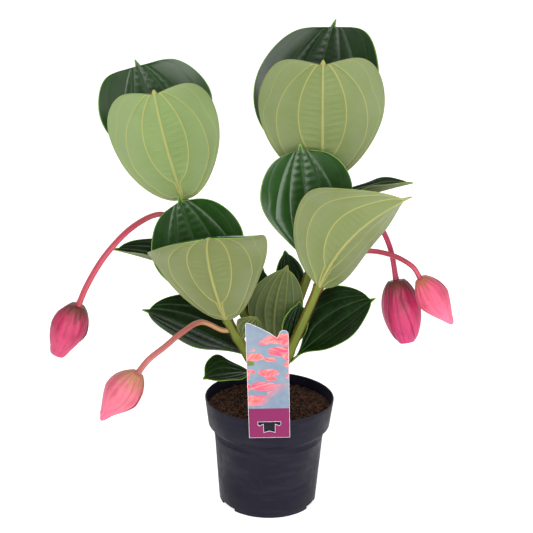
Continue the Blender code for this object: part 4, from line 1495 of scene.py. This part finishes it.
@dataclass
class Inflorescence:
    """A stalk with four angles and the bud at its end: two outer bracts over a closed inner pair."""

    flower: Flower
    stalk_radius: float = 0.0037
    stalk_start: float = 0.0022
    stalk_collar: float = 0.008
    neck_radius: float = 0.0046
    pointed_form: tuple[float, float] = (0.93, 0.85)
    blunt_form: tuple[float, float] = (0.83, 0.72)
    fold_height: float = 0.00055
    folds: float = 2.5
    seam_depth: float = 0.0008
    seam_width: float = 5.0
    # Each entry: how far a ring of the mouth shrinks, how deep it sinks, and how much painted shadow it gets.
    mouth: tuple[tuple[float, float, float], ...] = (
        (0.72, 0.0002, 0.4),
        (0.55, 0.0030, 1.0),
        (0.30, 0.0060, 1.0),
    )
    rim_flare: float = 0.0009
    bract_wander: float = 3.0
    # How deep a fold must be to get painted shade in its crease.
    crease: float = -0.0002
    bract_span: float = 68.0
    bract_least: float = 14.0
    bract_tip: float = 0.97
    bract_lift: float = 0.0012
    bract_crest: float = 0.0009
    bract_skin: float = 0.0009
    gap: float = 0.0004

    def belly(self, t: np.ndarray) -> np.ndarray:
        """The bud's radius.

        Args:
            t: Shares of its length, from its neck to its tip.

        Returns:
            One radius for each.
        """
        flower = self.flower
        reach, power = self.blunt_form if flower.blunt else self.pointed_form
        full = np.sin(np.pi * np.minimum(1.0, 0.06 + reach * t) ** 0.86) ** power
        narrowing = np.clip((t - 0.45) / 0.40, 0.0, 1.0) * np.clip((1.05 - t) / 0.2, 0.0, 1.0)
        full = full * (1.0 - flower.taper * narrowing)
        neck = self.neck_radius * (1.0 - t) ** 6
        return np.maximum(np.maximum(flower.radius * full, neck), 0.0012)

    def span(self, t: np.ndarray) -> np.ndarray:
        """Half the angle that an outer bract covers, in degrees, which narrows to a point near the tip."""
        share = np.minimum(1.0, t / self.bract_tip)
        reach = self.bract_span * np.sqrt(np.maximum(0.0, 1.0 - share**3)) * np.minimum(1.0, 0.75 + share)
        return np.maximum(self.bract_least, reach)

    def ribs(self, share: np.ndarray, t: np.ndarray) -> np.ndarray:
        """Height of the long folds that run down a bract and fade towards its tip."""
        fade = np.clip(t / 0.06, 0.0, 1.0) * np.clip(1.15 - t, 0.0, 1.0) ** 1.5
        return self.fold_height * np.cos(2 * np.pi * self.folds * share + 1.2 * np.sin(3.0 * t)) * fade

    def place_at(self, angle: np.ndarray, radius: np.ndarray, t: np.ndarray) -> np.ndarray:
        """Points on the bud in its own axes, with the hook at its tip.

        Args:
            angle: Angles round the bud, in degrees.
            radius: Distances from its axis.
            t: Shares of its length.

        Returns:
            The points.
        """
        turned = np.radians(self.flower.turn + angle)
        bent = self.flower.hook * np.clip((t - 0.72) / 0.28, 0.0, 1.0) ** 2
        down = self.flower.length * np.broadcast_to(t, radius.shape)
        return np.stack([radius * np.cos(turned) + bent, radius * np.sin(turned), down], -1)

    def inner_pair(self) -> tuple[np.ndarray, list, np.ndarray]:
        """The closed inner bracts.

        Returns:
            The points, the faces and the bract attribute.
        """
        neck, body, end = np.linspace(0.0, 0.1, 8), np.linspace(0.1, 0.9, 34), np.linspace(0.9, 1.0, 12)
        t = np.concatenate([neck[:-1], body, end[1:]])
        around = 96
        angle = 360.0 * np.arange(around)[None, :] / around
        share = np.sin(np.radians(angle))
        radius = self.belly(t)[:, None] + self.bract_crest * np.abs(share)
        radius = radius + 0.6 * self.ribs(share, t[:, None])
        seam = bell(np.cos(np.radians(angle)) * 90.0, self.seam_width)
        radius = radius - self.seam_depth * seam * np.clip(t[:, None] / 0.3, 0.0, 1.0)
        rings = self.place_at(np.broadcast_to(angle, radius.shape), radius, t[:, None])
        dark = np.zeros(len(t))
        if self.flower.blunt:
            mouth = [rings[-1] * (shrink, shrink, 1.0) - (0.0, 0.0, depth) for shrink, depth, _ in self.mouth]
            rings = np.concatenate([rings, np.array(mouth)])
            dark = np.concatenate([dark, [shadow for _, _, shadow in self.mouth]])
            t = np.concatenate([t, np.ones(len(mouth))])
        points, faces = ringed_solid(rings)
        # Painted shade: the mouth's shadow and the darker seam between the inner bracts, for the bract
        # attribute's third number.
        fold = np.repeat(dark, around) + 0.5 * np.tile(seam[0], len(t))
        values = np.stack([np.zeros(len(fold)), np.repeat(t, around), fold], -1)
        return points, faces, values

    def outer_bract(self, facing: float) -> tuple[np.ndarray, list, np.ndarray]:
        """One outer bract, a thin shell over the inner pair.

        Args:
            facing: The angle that its middle faces, in degrees.

        Returns:
            The points, the faces and the bract attribute.
        """
        t = np.concatenate([np.linspace(0.0, 0.08, 7)[:-1], np.linspace(0.08, self.bract_tip, 46)])[:, None]
        share = np.sin(np.linspace(-0.5, 0.5, 41) * np.pi)[None, :]
        slim = np.minimum(1.0, self.belly(t) / self.neck_radius - 0.2)
        close = np.clip((self.bract_tip - t) / 0.06, 0.25, 1.0)
        frill = np.sin(np.pi * np.clip(t, 0.0, 1.0)) * (1.0 + 0.5 * np.sin(9.0 * t + facing))
        flare = self.rim_flare * np.abs(share) ** 6 * frill
        lift = self.bract_lift * slim * close
        radius = self.belly(t) + lift + self.bract_crest * slim * np.cos(np.pi * share / 2) + flare
        radius = radius + self.ribs(share + facing / 300.0, t) * slim
        angle = facing + share * self.span(t) + self.bract_wander * np.sin(7.0 * t + facing)
        skin = np.minimum(self.bract_skin, radius * 0.4)
        grids = [self.place_at(angle, radius, t), self.place_at(angle, radius - skin, t)]
        points, faces, _ = closed_sheet(*(grid[:, ::-1] for grid in grids))
        # Painted shade in the creases of the long folds.
        fold = 0.35 * (self.ribs(share + facing / 300.0, t) < self.crease)
        one = np.stack(np.broadcast_arrays(share, t, fold), -1)[:, ::-1]
        inner = one.copy()
        # Painted shade over the whole inner face, which darkens the bract's edge as seen from outside.
        inner[..., 2] = 1.0
        return points, faces, np.concatenate([one.reshape(-1, 3), inner.reshape(-1, 3)])

    def build(self) -> None:
        """Builds the stalk and the bud."""
        flower = self.flower
        tip, last = Vector(flower.tip), Vector(flower.path[-1])
        axis = (tip - last).normalized()
        neck = tip - axis * flower.length
        start = beside_stem(flower.stem, flower.height, flower.heading, self.stalk_start - 0.006)
        collar = beside_stem(flower.stem, flower.height, flower.heading, self.stalk_collar)
        path = smooth_path((start, collar, *flower.path, neck + axis * 0.002), 12)
        run = np.linspace(0.0, 1.0, len(path))
        radii = self.stalk_radius * (1.0 + 0.18 * bell(run, 0.06) + 0.22 * bell(run - 1.0, 0.03))
        points, faces, section, lines = limb(path, radii, squarish(28, 1.4, math.pi / 4))
        values = {"section": section, "limb": lines}
        stalk = add_piece(f"stalk_{flower.name}_skin", points, faces, [flower.stalk.material()], None, values)
        settle(stalk, "stalk_" + flower.name)
        stand = np.array(Matrix.Translation(neck) @ axis.to_track_quat("Z", "Y").to_matrix().to_4x4())
        points, faces, values, first = [], [], [], 0
        for place, loops, bract in (self.inner_pair(), self.outer_bract(0.0), self.outer_bract(180.0)):
            points.append(place)
            faces += [[first + k for k in loop] for loop in loops]
            values.append(bract)
            first += len(place)
        local = np.concatenate(points)
        world = local @ stand[:3, :3].T + stand[:3, 3]
        bracts = np.concatenate(values)
        turn = np.degrees(np.arctan2(local[:, 1], local[:, 0])) / 360.0
        lines = np.stack([turn, bracts[:, 1] * flower.length / MM, np.zeros(len(turn))], -1)
        values = {"bract": bracts, "limb": lines}
        bud = add_piece(f"bud_{flower.name}_bracts", world, faces, [flower.bract.material()], None, values)
        settle(bud, "bud_" + flower.name)


# Pot and peat


@dataclass
class NurseryPot:
    """The thin moulded pot, turned from one profile, with drain notches in its foot."""

    height: float
    rim_radius: float
    collar_height: float = 0.037
    collar_base_radius: float = 0.0802
    body_top_drop: float = 0.044
    body_top_radius: float = 0.0725
    foot_radius: float = 0.0647
    wall: float = 0.0016
    floor: float = 0.002
    bead_drop: float = 0.0085
    bead: float = 0.0003
    notch_angles: tuple[float, ...] = (-24.0, 96.0, 216.0)
    notch_span: float = 25.0
    notch_height: float = 0.0045
    notch_reach: float = 0.024
    notch_inset: float = 0.002
    steps: int = 192
    finish: PlasticFinish = PlasticFinish(name="pot_black_plastic", roughness=0.50, specular=0.14)

    def body_radius(self, height: float) -> float:
        """Outer radius of the tapered body."""
        top = self.height - self.body_top_drop
        return self.foot_radius + (self.body_top_radius - self.foot_radius) * height / top

    def collar_radius(self, height: float) -> float:
        """Outer radius of the collar."""
        drop = (self.height - height) / self.collar_height
        return self.rim_radius + (self.collar_base_radius - self.rim_radius) * drop

    def inner_profile(self, inset: float, bottom: float, top: float) -> list[tuple[float, float]]:
        """The inner side.

        Args:
            inset: How far inside it the line runs.
            bottom: The line's lower height.
            top: Its upper height.

        Returns:
            Radius and height of each point, going up.
        """
        body_top, collar_foot = self.height - self.body_top_drop, self.height - self.collar_height
        return [
            (self.body_radius(bottom) - self.wall - inset, bottom),
            (self.body_top_radius - self.wall - inset, body_top + self.wall),
            (self.collar_base_radius - self.wall - inset, collar_foot + self.wall),
            (self.collar_radius(top) - self.wall - inset, top),
        ]

    def profile(self) -> list[tuple[float, float]]:
        """The whole section: up the inner side, over the rounded lip and down the outer side.

        Returns:
            Radius and height of each point.
        """
        lip = self.wall / 2
        inner = self.inner_profile(0.0, self.floor, self.height - lip)
        middle, level = self.rim_radius - lip, self.height - lip
        arc = [(middle + lip * math.cos(a), level + lip * math.sin(a)) for a in np.linspace(math.pi, 0.0, 9)]
        body_top = self.height - self.body_top_drop
        collar_foot = self.height - self.collar_height
        soft = 0.0009
        outer = [
            (self.collar_radius(collar_foot + soft), collar_foot + soft),
            (self.collar_base_radius - 0.0002, collar_foot + 0.0003),
            (self.collar_base_radius - 0.0008, collar_foot),
            (self.body_top_radius + 0.0006, body_top + 0.0006),
            (self.body_top_radius, body_top - 0.0002),
            (self.body_top_radius - 0.0001, body_top - 0.0012),
        ]
        bead_at = body_top - self.bead_drop
        for offset, out in ((0.0012, 0.0), (0.0006, self.bead), (-0.0002, self.bead), (-0.0010, 0.0)):
            outer.append((self.body_radius(bead_at + offset) + out, bead_at + offset))
        foot = [
            (self.body_radius(0.030), 0.030),
            (self.foot_radius, 0.0016),
            (self.foot_radius - 0.0004, 0.0005),
            (self.foot_radius - 0.0012, 0.0),
        ]
        return [*inner[:-1], *arc, *outer, *foot]

    def build(self) -> None:
        """Turns the pot, cuts its notches and dresses it."""
        profile = [(0.0005, self.floor), *self.profile(), (0.0005, 0.0)]
        angle = 2 * math.pi * np.arange(self.steps) / self.steps
        rings = np.array([[(r * math.cos(a), r * math.sin(a), z) for a in angle] for r, z in profile])
        points, faces = ringed_solid(rings)
        pot = add_piece("pot_shell", points, [face[::-1] for face in faces], [self.finish.material()])
        width = 2 * self.foot_radius * math.sin(math.radians(self.notch_span / 2))
        half = Vector((self.notch_reach / 2, width / 2, self.notch_height))
        middle = Vector((self.foot_radius - self.notch_inset, 0.0, 0.0))
        corners, sides = block(middle - half, middle + half)
        cutters = []
        for index, turn in enumerate(self.notch_angles):
            stand = np.array(Matrix.Rotation(math.radians(turn), 3, "Z"))
            cutter = add_piece(f"notch_cutter_{index}", corners @ stand.T, sides, [])
            cut = pot.modifiers.new(f"Notch {index}", "BOOLEAN")
            cut.object, cut.operation, cut.solver = cutter, "DIFFERENCE", "EXACT"
            cutters.append(cutter)
        graph = bpy.context.evaluated_depsgraph_get()
        mesh = bpy.data.meshes.new_from_object(pot.evaluated_get(graph))
        pot.modifiers.clear()
        pot.data = mesh
        for cutter in cutters:
            bpy.data.objects.remove(cutter)
        pot.data.set_sharp_from_angle(angle=math.radians(35))
        settle(pot, "pot")


@dataclass
class PeatFilling:
    """The peat in the pot: a lumpy bed with loose crumbs and fibres on it."""

    pot: NurseryPot
    drop: float = 0.013
    mound: float = 0.004
    lump: float = 0.0022
    rough: float = 0.0042
    gap: float = 0.0004
    around: int = 220
    rings: int = 76
    crumbs: int = 1500
    crumb_size: tuple[float, float] = (0.0007, 0.0022)
    fibre_length: tuple[float, float] = (0.004, 0.010)
    bare_edge: float = 0.005
    fibres: int = 260
    fibre_radii: tuple[float, ...] = (0.00012, 0.00030, 0.00030, 0.00010)
    seed: int = 7
    finish: PeatFinish = PeatFinish(name="peat_crumbs", roughness=0.95, specular=0.2)

    def surface(self) -> float:
        """The height of the bed at the pot's wall."""
        return self.pot.height - self.drop

    def lumps(self, x: np.ndarray, y: np.ndarray) -> np.ndarray:
        """Height of the broad lumps, which don't repeat inside the pot."""
        waves = np.sin(310 * x + 1.3) * np.cos(270 * y + 0.4) + 0.7 * np.sin(480 * x - 390 * y + 2.1)
        return self.lump * (waves + 0.6 * np.cos(150 * x + 220 * y)) / 2.3

    def height_at(self, x: float, y: float, top_radius: float) -> float:
        """Height of the bed.

        Args:
            x: Place across.
            y: Place in depth.
            top_radius: The bed's radius.

        Returns:
            The height above the floor.
        """
        away = min(1.0, math.hypot(x, y) / top_radius)
        settled = 1.0 - away**12
        fine = noise.fractal(Vector((x * 95, y * 95, 3.0)), 1.0, 2.1, 5)
        clods = noise.voronoi(Vector((x * 150, y * 150, 1.0)))[0][0]
        texture = self.rough * (0.6 * fine + 1.0 * (0.42 - clods))
        broad = float(self.lumps(np.array(x), np.array(y)))
        return self.surface() + self.mound * (1 - away) + (broad + texture) * settled - 0.001 * away**12

    def bed(self) -> tuple[np.ndarray, list]:
        """The closed bed, from the pot's floor to the lumpy top.

        Returns:
            The points and the faces.
        """
        edge = self.pot.inner_profile(self.gap, self.pot.floor + self.gap, self.surface() - 0.0012)
        top_radius = edge[-1][0]
        angle = 2 * math.pi * np.arange(self.around) / self.around
        rings = [[(r * math.cos(a), r * math.sin(a), z) for a in angle] for r, z in edge]
        for share in np.linspace(0.992, 0.012, self.rings) ** 0.85:
            ring = []
            for a in angle:
                x, y = top_radius * share * math.cos(a), top_radius * share * math.sin(a)
                ring.append((x, y, self.height_at(x, y, top_radius)))
            rings.append(ring)
        return ringed_solid(np.array(rings))

    def crumb(self, place: Vector, size: float, draw: np.random.Generator) -> tuple[np.ndarray, np.ndarray]:
        """One loose crumb.

        Args:
            place: Its middle.
            size: Its radius.
            draw: The random source.

        Returns:
            The points and the faces.
        """
        golden = (1 + math.sqrt(5)) / 2
        corners = np.array(
            [(-1, golden, 0), (1, golden, 0), (-1, -golden, 0), (1, -golden, 0),
             (0, -1, golden), (0, 1, golden), (0, -1, -golden), (0, 1, -golden),
             (golden, 0, -1), (golden, 0, 1), (-golden, 0, -1), (-golden, 0, 1)],
            float,
        ) / math.hypot(1, golden)
        faces = np.array(
            [(0, 11, 5), (0, 5, 1), (0, 1, 7), (0, 7, 10), (0, 10, 11), (1, 5, 9), (5, 11, 4),
             (11, 10, 2), (10, 7, 6), (7, 1, 8), (3, 9, 4), (3, 4, 2), (3, 2, 6), (3, 6, 8),
             (3, 8, 9), (4, 9, 5), (2, 4, 11), (6, 2, 10), (8, 6, 7), (9, 8, 1)]
        )
        shape = corners * draw.uniform(0.65, 1.35, (12, 1)) * draw.uniform(0.6, 1.3, 3) * size
        angle, axis = draw.uniform(0, math.tau), Vector(draw.normal(size=3)).normalized()
        turn = np.array(Matrix.Rotation(angle, 3, axis))
        return shape @ turn.T + np.array(place), faces

    def fibre(self, place: Vector, draw: np.random.Generator) -> tuple[np.ndarray, list]:
        """One short fibre that lies on the bed.

        Args:
            place: Its middle.
            draw: The random source.

        Returns:
            The points and the faces.
        """
        heading, length = draw.uniform(0, math.tau), draw.uniform(*self.fibre_length)
        along = np.array((math.cos(heading), math.sin(heading), draw.uniform(-0.1, 0.25)))
        side = np.array((-math.sin(heading), math.cos(heading), 0.0))
        shares = np.array((-0.5, -0.17, 0.17, 0.5))[:, None]
        spots = np.array(place) + along * length * shares + side * 0.2 * length * (shares * 2) ** 2
        points, faces, _, _ = limb(spots, np.array(self.fibre_radii), squarish(4, 1.2, 0.0))
        return points, faces

    def build(self) -> None:
        """Builds the bed, scatters crumbs and fibres on it, and dresses the whole."""
        draw = np.random.default_rng(self.seed)
        points, faces = self.bed()
        top_radius = self.pot.inner_profile(self.gap, 0.01, self.surface())[-1][0]
        all_points, all_faces, start = [points], list(faces), len(points)
        for index in range(self.crumbs + self.fibres):
            away, turn = (top_radius - self.bare_edge) * math.sqrt(draw.uniform()), draw.uniform(0, math.tau)
            x, y = away * math.cos(turn), away * math.sin(turn)
            place = Vector((x, y, self.height_at(x, y, top_radius)))
            if index < self.crumbs:
                size = self.crumb_size[0] + self.crumb_size[1] * draw.uniform() ** 3
                spots, loops = self.crumb(place + Vector((0, 0, 0.2 * size)), size, draw)
            else:
                spots, loops = self.fibre(place + Vector((0, 0, 0.0006)), draw)
            all_points.append(spots)
            all_faces += [[start + int(k) for k in loop] for loop in loops]
            start += len(spots)
        piece = add_piece("peat_bed", np.concatenate(all_points), all_faces, [self.finish.material()])
        settle(piece, "soil")


# Card


@dataclass
class PlantCard:
    """The printed card that leans on the collar, with a die-cut window and a tab over the rim."""

    pot: NurseryPot
    thickness: float = 0.0006
    lean: float = 6.0
    tilt: float = -2.4
    gap: float = 0.0004
    wall: float = 0.0016
    tab_width: float = 0.014
    flap_width: float = 0.022
    flap_drop: float = 0.0095
    tab_clearance: float = 0.0022
    white_edge: float = 0.00042
    ink: float = 0.00004
    outline: tuple[tuple[float, float], ...] = (
        (-0.0255, -0.0225), (0.0255, -0.0225), (0.0258, 0.1190), (0.0250, 0.1225), (0.0225, 0.1247),
        (0.0185, 0.1250), (0.0155, 0.1230), (0.0140, 0.1190), (0.0120, 0.1150), (0.0050, 0.1205),
        (-0.0020, 0.1250), (-0.0110, 0.1300), (-0.0200, 0.1345), (-0.0240, 0.1355), (-0.0258, 0.1335),
    )
    window: tuple[tuple[float, float], ...] = (
        (-0.0142, 0.0), (-0.0142, -0.0035), (-0.0125, -0.0055), (-0.0070, -0.0030), (-0.0070, -0.0150),
        (0.0, -0.0128),
        (0.0070, -0.0150), (0.0070, -0.0030), (0.0125, -0.0055), (0.0142, -0.0035), (0.0142, 0.0),
    )
    print_finish: PrintFinish = PrintFinish(name="card_print", roughness=0.34, specular=0.25)
    stock: CardStock = CardStock(name="card_stock", roughness=0.55)

    def plate(self, loops: tuple, shrink: float, depth: float, thickness: float) -> bpy.types.Mesh:
        """A flat plate in the card's own plane.

        Args:
            loops: Its outline and holes, as points across and up.
            shrink: How far every edge is drawn in.
            depth: How far its middle stands in front of the card's middle.
            thickness: Its thickness.

        Returns:
            The mesh.
        """
        curve = bpy.data.curves.new("card_outline", "CURVE")
        curve.dimensions = "2D"
        curve.fill_mode = "BOTH"
        curve.extrude = thickness / 2
        curve.offset = -shrink
        for loop in loops:
            spline = curve.splines.new("POLY")
            spline.use_cyclic_u = True
            spline.points.add(len(loop) - 1)
            for point, (x, z) in zip(spline.points, loop):
                point.co = (x, z, 0.0, 1.0)
        guide = bpy.data.objects.new("card_guide", curve)
        bpy.context.scene.collection.objects.link(guide)
        graph = bpy.context.evaluated_depsgraph_get()
        mesh = bpy.data.meshes.new_from_object(guide.evaluated_get(graph))
        bpy.data.objects.remove(guide, do_unlink=True)
        mesh.transform(Matrix.Translation((0, -depth, 0)) @ Matrix.Rotation(math.pi / 2, 4, "X"))
        return mesh

    def build(self) -> None:
        """Builds the card, its print and its tab as one piece."""
        front = self.pot.rim_radius + self.gap + self.thickness / 2
        rest = Vector((0.0, -front, self.pot.height + self.gap))
        stand = (
            Matrix.Translation(rest)
            @ Matrix.Rotation(math.radians(self.lean), 4, "X")
            @ Matrix.Rotation(math.radians(self.tilt), 4, "Y")
        )
        loops = (self.outline, self.window)
        core = self.plate(loops, 0.0, 0.0, self.thickness)
        ink = self.plate(loops, self.white_edge, self.thickness / 2 + self.ink, self.ink)
        points, faces, kinds, prints, start = [], [], [], [], 0
        for mesh, kind in ((core, 0), (ink, 1)):
            local = np.array([v.co for v in mesh.vertices])
            prints.append(np.stack([local[:, 0] / MM, local[:, 2] / MM, np.zeros(len(local))], -1))
            points.append(local @ np.array(stand)[:3, :3].T + np.array(stand)[:3, 3])
            faces += [[start + k for k in face.vertices] for face in mesh.polygons]
            kinds += [kind] * len(mesh.polygons)
            start += len(local)
        inner = -(self.pot.rim_radius - self.wall - self.tab_clearance)
        back, tab, flap = inner + self.thickness, self.tab_width / 2, self.flap_width / 2
        for low, high in (
            ((-tab, rest.y, rest.z), (tab, back, rest.z + self.thickness)),
            ((-flap, inner, rest.z - self.flap_drop), (flap, back, rest.z + self.thickness / 2)),
        ):
            spots, sides = block(low, high)
            points.append(spots)
            prints.append(np.zeros((len(spots), 3)))
            faces += [[start + k for k in side] for side in sides]
            kinds += [0] * len(sides)
            start += len(spots)
        finishes = [self.stock.material(), self.print_finish.material()]
        values = {"print": np.concatenate(prints)}
        card = add_piece("label_print", np.concatenate(points), faces, finishes, np.array(kinds), values)
        card.data.polygons.foreach_set("use_smooth", np.zeros(len(faces), bool))
        settle(card, "label")


# Studio


@dataclass
class Studio:
    """The pale floor, the soft lights and the camera at the photograph's angle."""

    camera_place: Point = (-0.0073, -1.2925, 0.6830)
    pitch: float = 15.62
    tilt: float = 1.15
    focal_pixels: float = 1052.0
    image_pixels: float = 533.0
    sensor: float = 36.0
    world_light: float = 0.20
    floor_size: float = 14.0
    sweep_start: float = 2.0
    sweep_radius: float = 1.5
    sweep_top: float = 6.0
    floor: FloorFinish = FloorFinish(name="studio_floor", roughness=0.9, specular=0.1)

    def add_light(self, name: str, place: Point, aim: Point, size: tuple[float, float], power: float) -> None:
        """Adds one soft light.

        Args:
            name: Its name.
            place: Where it stands.
            aim: The point that it faces.
            size: Its width and height.
            power: Its power in watts.
        """
        data = bpy.data.lights.new(name, "AREA")
        data.shape, data.energy = "RECTANGLE", power
        data.size, data.size_y = size
        lamp = bpy.data.objects.new(name, data)
        lamp.location = place
        lamp.rotation_euler = (Vector(aim) - Vector(place)).to_track_quat("-Z", "Y").to_euler()
        bpy.context.scene.collection.objects.link(lamp)

    def add_camera(self) -> None:
        """Places the camera as the photograph was taken."""
        down, roll = math.radians(self.pitch), math.radians(self.tilt)
        ahead = Vector((0.0, math.cos(down), -math.sin(down)))
        right = ahead.cross(Vector((0.0, 0.0, 1.0))).normalized()
        up = right.cross(ahead)
        right, up = right * math.cos(roll) + up * math.sin(roll), up * math.cos(roll) - right * math.sin(roll)
        data = bpy.data.cameras.new("studio_camera")
        data.sensor_width = self.sensor
        data.lens = self.focal_pixels * self.sensor / self.image_pixels
        camera = bpy.data.objects.new("studio_camera", data)
        turn = Matrix((right, up, -ahead)).transposed().to_4x4()
        camera.matrix_world = Matrix.Translation(self.camera_place) @ turn
        bpy.context.scene.collection.objects.link(camera)
        bpy.context.scene.camera = camera

    def add_world(self) -> None:
        """Even white light from all round."""
        world = bpy.data.worlds.new("studio_light")
        world.use_nodes = True
        ground = world.node_tree.nodes["Background"]
        ground.inputs[0].default_value = rgb(1.0, 1.0, 1.0)
        ground.inputs[1].default_value = self.world_light
        bpy.context.scene.world = world

    def build(self) -> None:
        """Builds the floor, the lights and the camera."""
        half, curve = self.floor_size / 2, self.sweep_radius
        arc = [
            (self.sweep_start + curve * math.sin(a), curve * (1.0 - math.cos(a)))
            for a in np.linspace(0.0, math.pi / 2, 25)
        ]
        line = [(-half, 0.0), *arc, (self.sweep_start + curve, self.sweep_top)]
        corners = np.array([(x, y, z) for y, z in line for x in (-half, half)])
        faces = [(2 * k, 2 * k + 1, 2 * k + 3, 2 * k + 2) for k in range(len(line) - 1)]
        floor = add_piece("studio_floor", corners, faces, [self.floor.material()])
        aim = (0.0, 0.0, 0.32)
        self.add_light("low_light", (0.25, -1.60, 0.44), aim, (2.4, 0.8), 24.0)
        self.add_light("key_light", (-0.60, -1.50, 1.90), aim, (1.0, 1.0), 20.0)
        self.add_light("side_light", (1.7, -0.6, 1.2), aim, (1.2, 1.2), 5.0)
        self.add_light("back_light", (0.3, 1.7, 1.8), aim, (1.4, 1.4), 7.0)
        self.add_world()
        self.add_camera()
        scene = bpy.context.scene
        scene.view_settings.view_transform = "Standard"
        LOG.info("studio is ready")


def main() -> None:
    """Builds every sub-assembly in order, from the floor up."""
    logging.basicConfig(level=logging.INFO, format="%(name)s: %(message)s")
    _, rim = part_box("pot")
    pot = NurseryPot(height=rim.z, rim_radius=rim.x)
    foliage = Foliage()
    pot.build()
    PeatFilling(pot).build()
    PlantAxis(foliage.joints()).build()
    foliage.build()
    for flower in FLOWERS:
        Inflorescence(flower).build()
    PlantCard(pot).build()
    Studio().build()


if __name__ == "__main__":
    main()
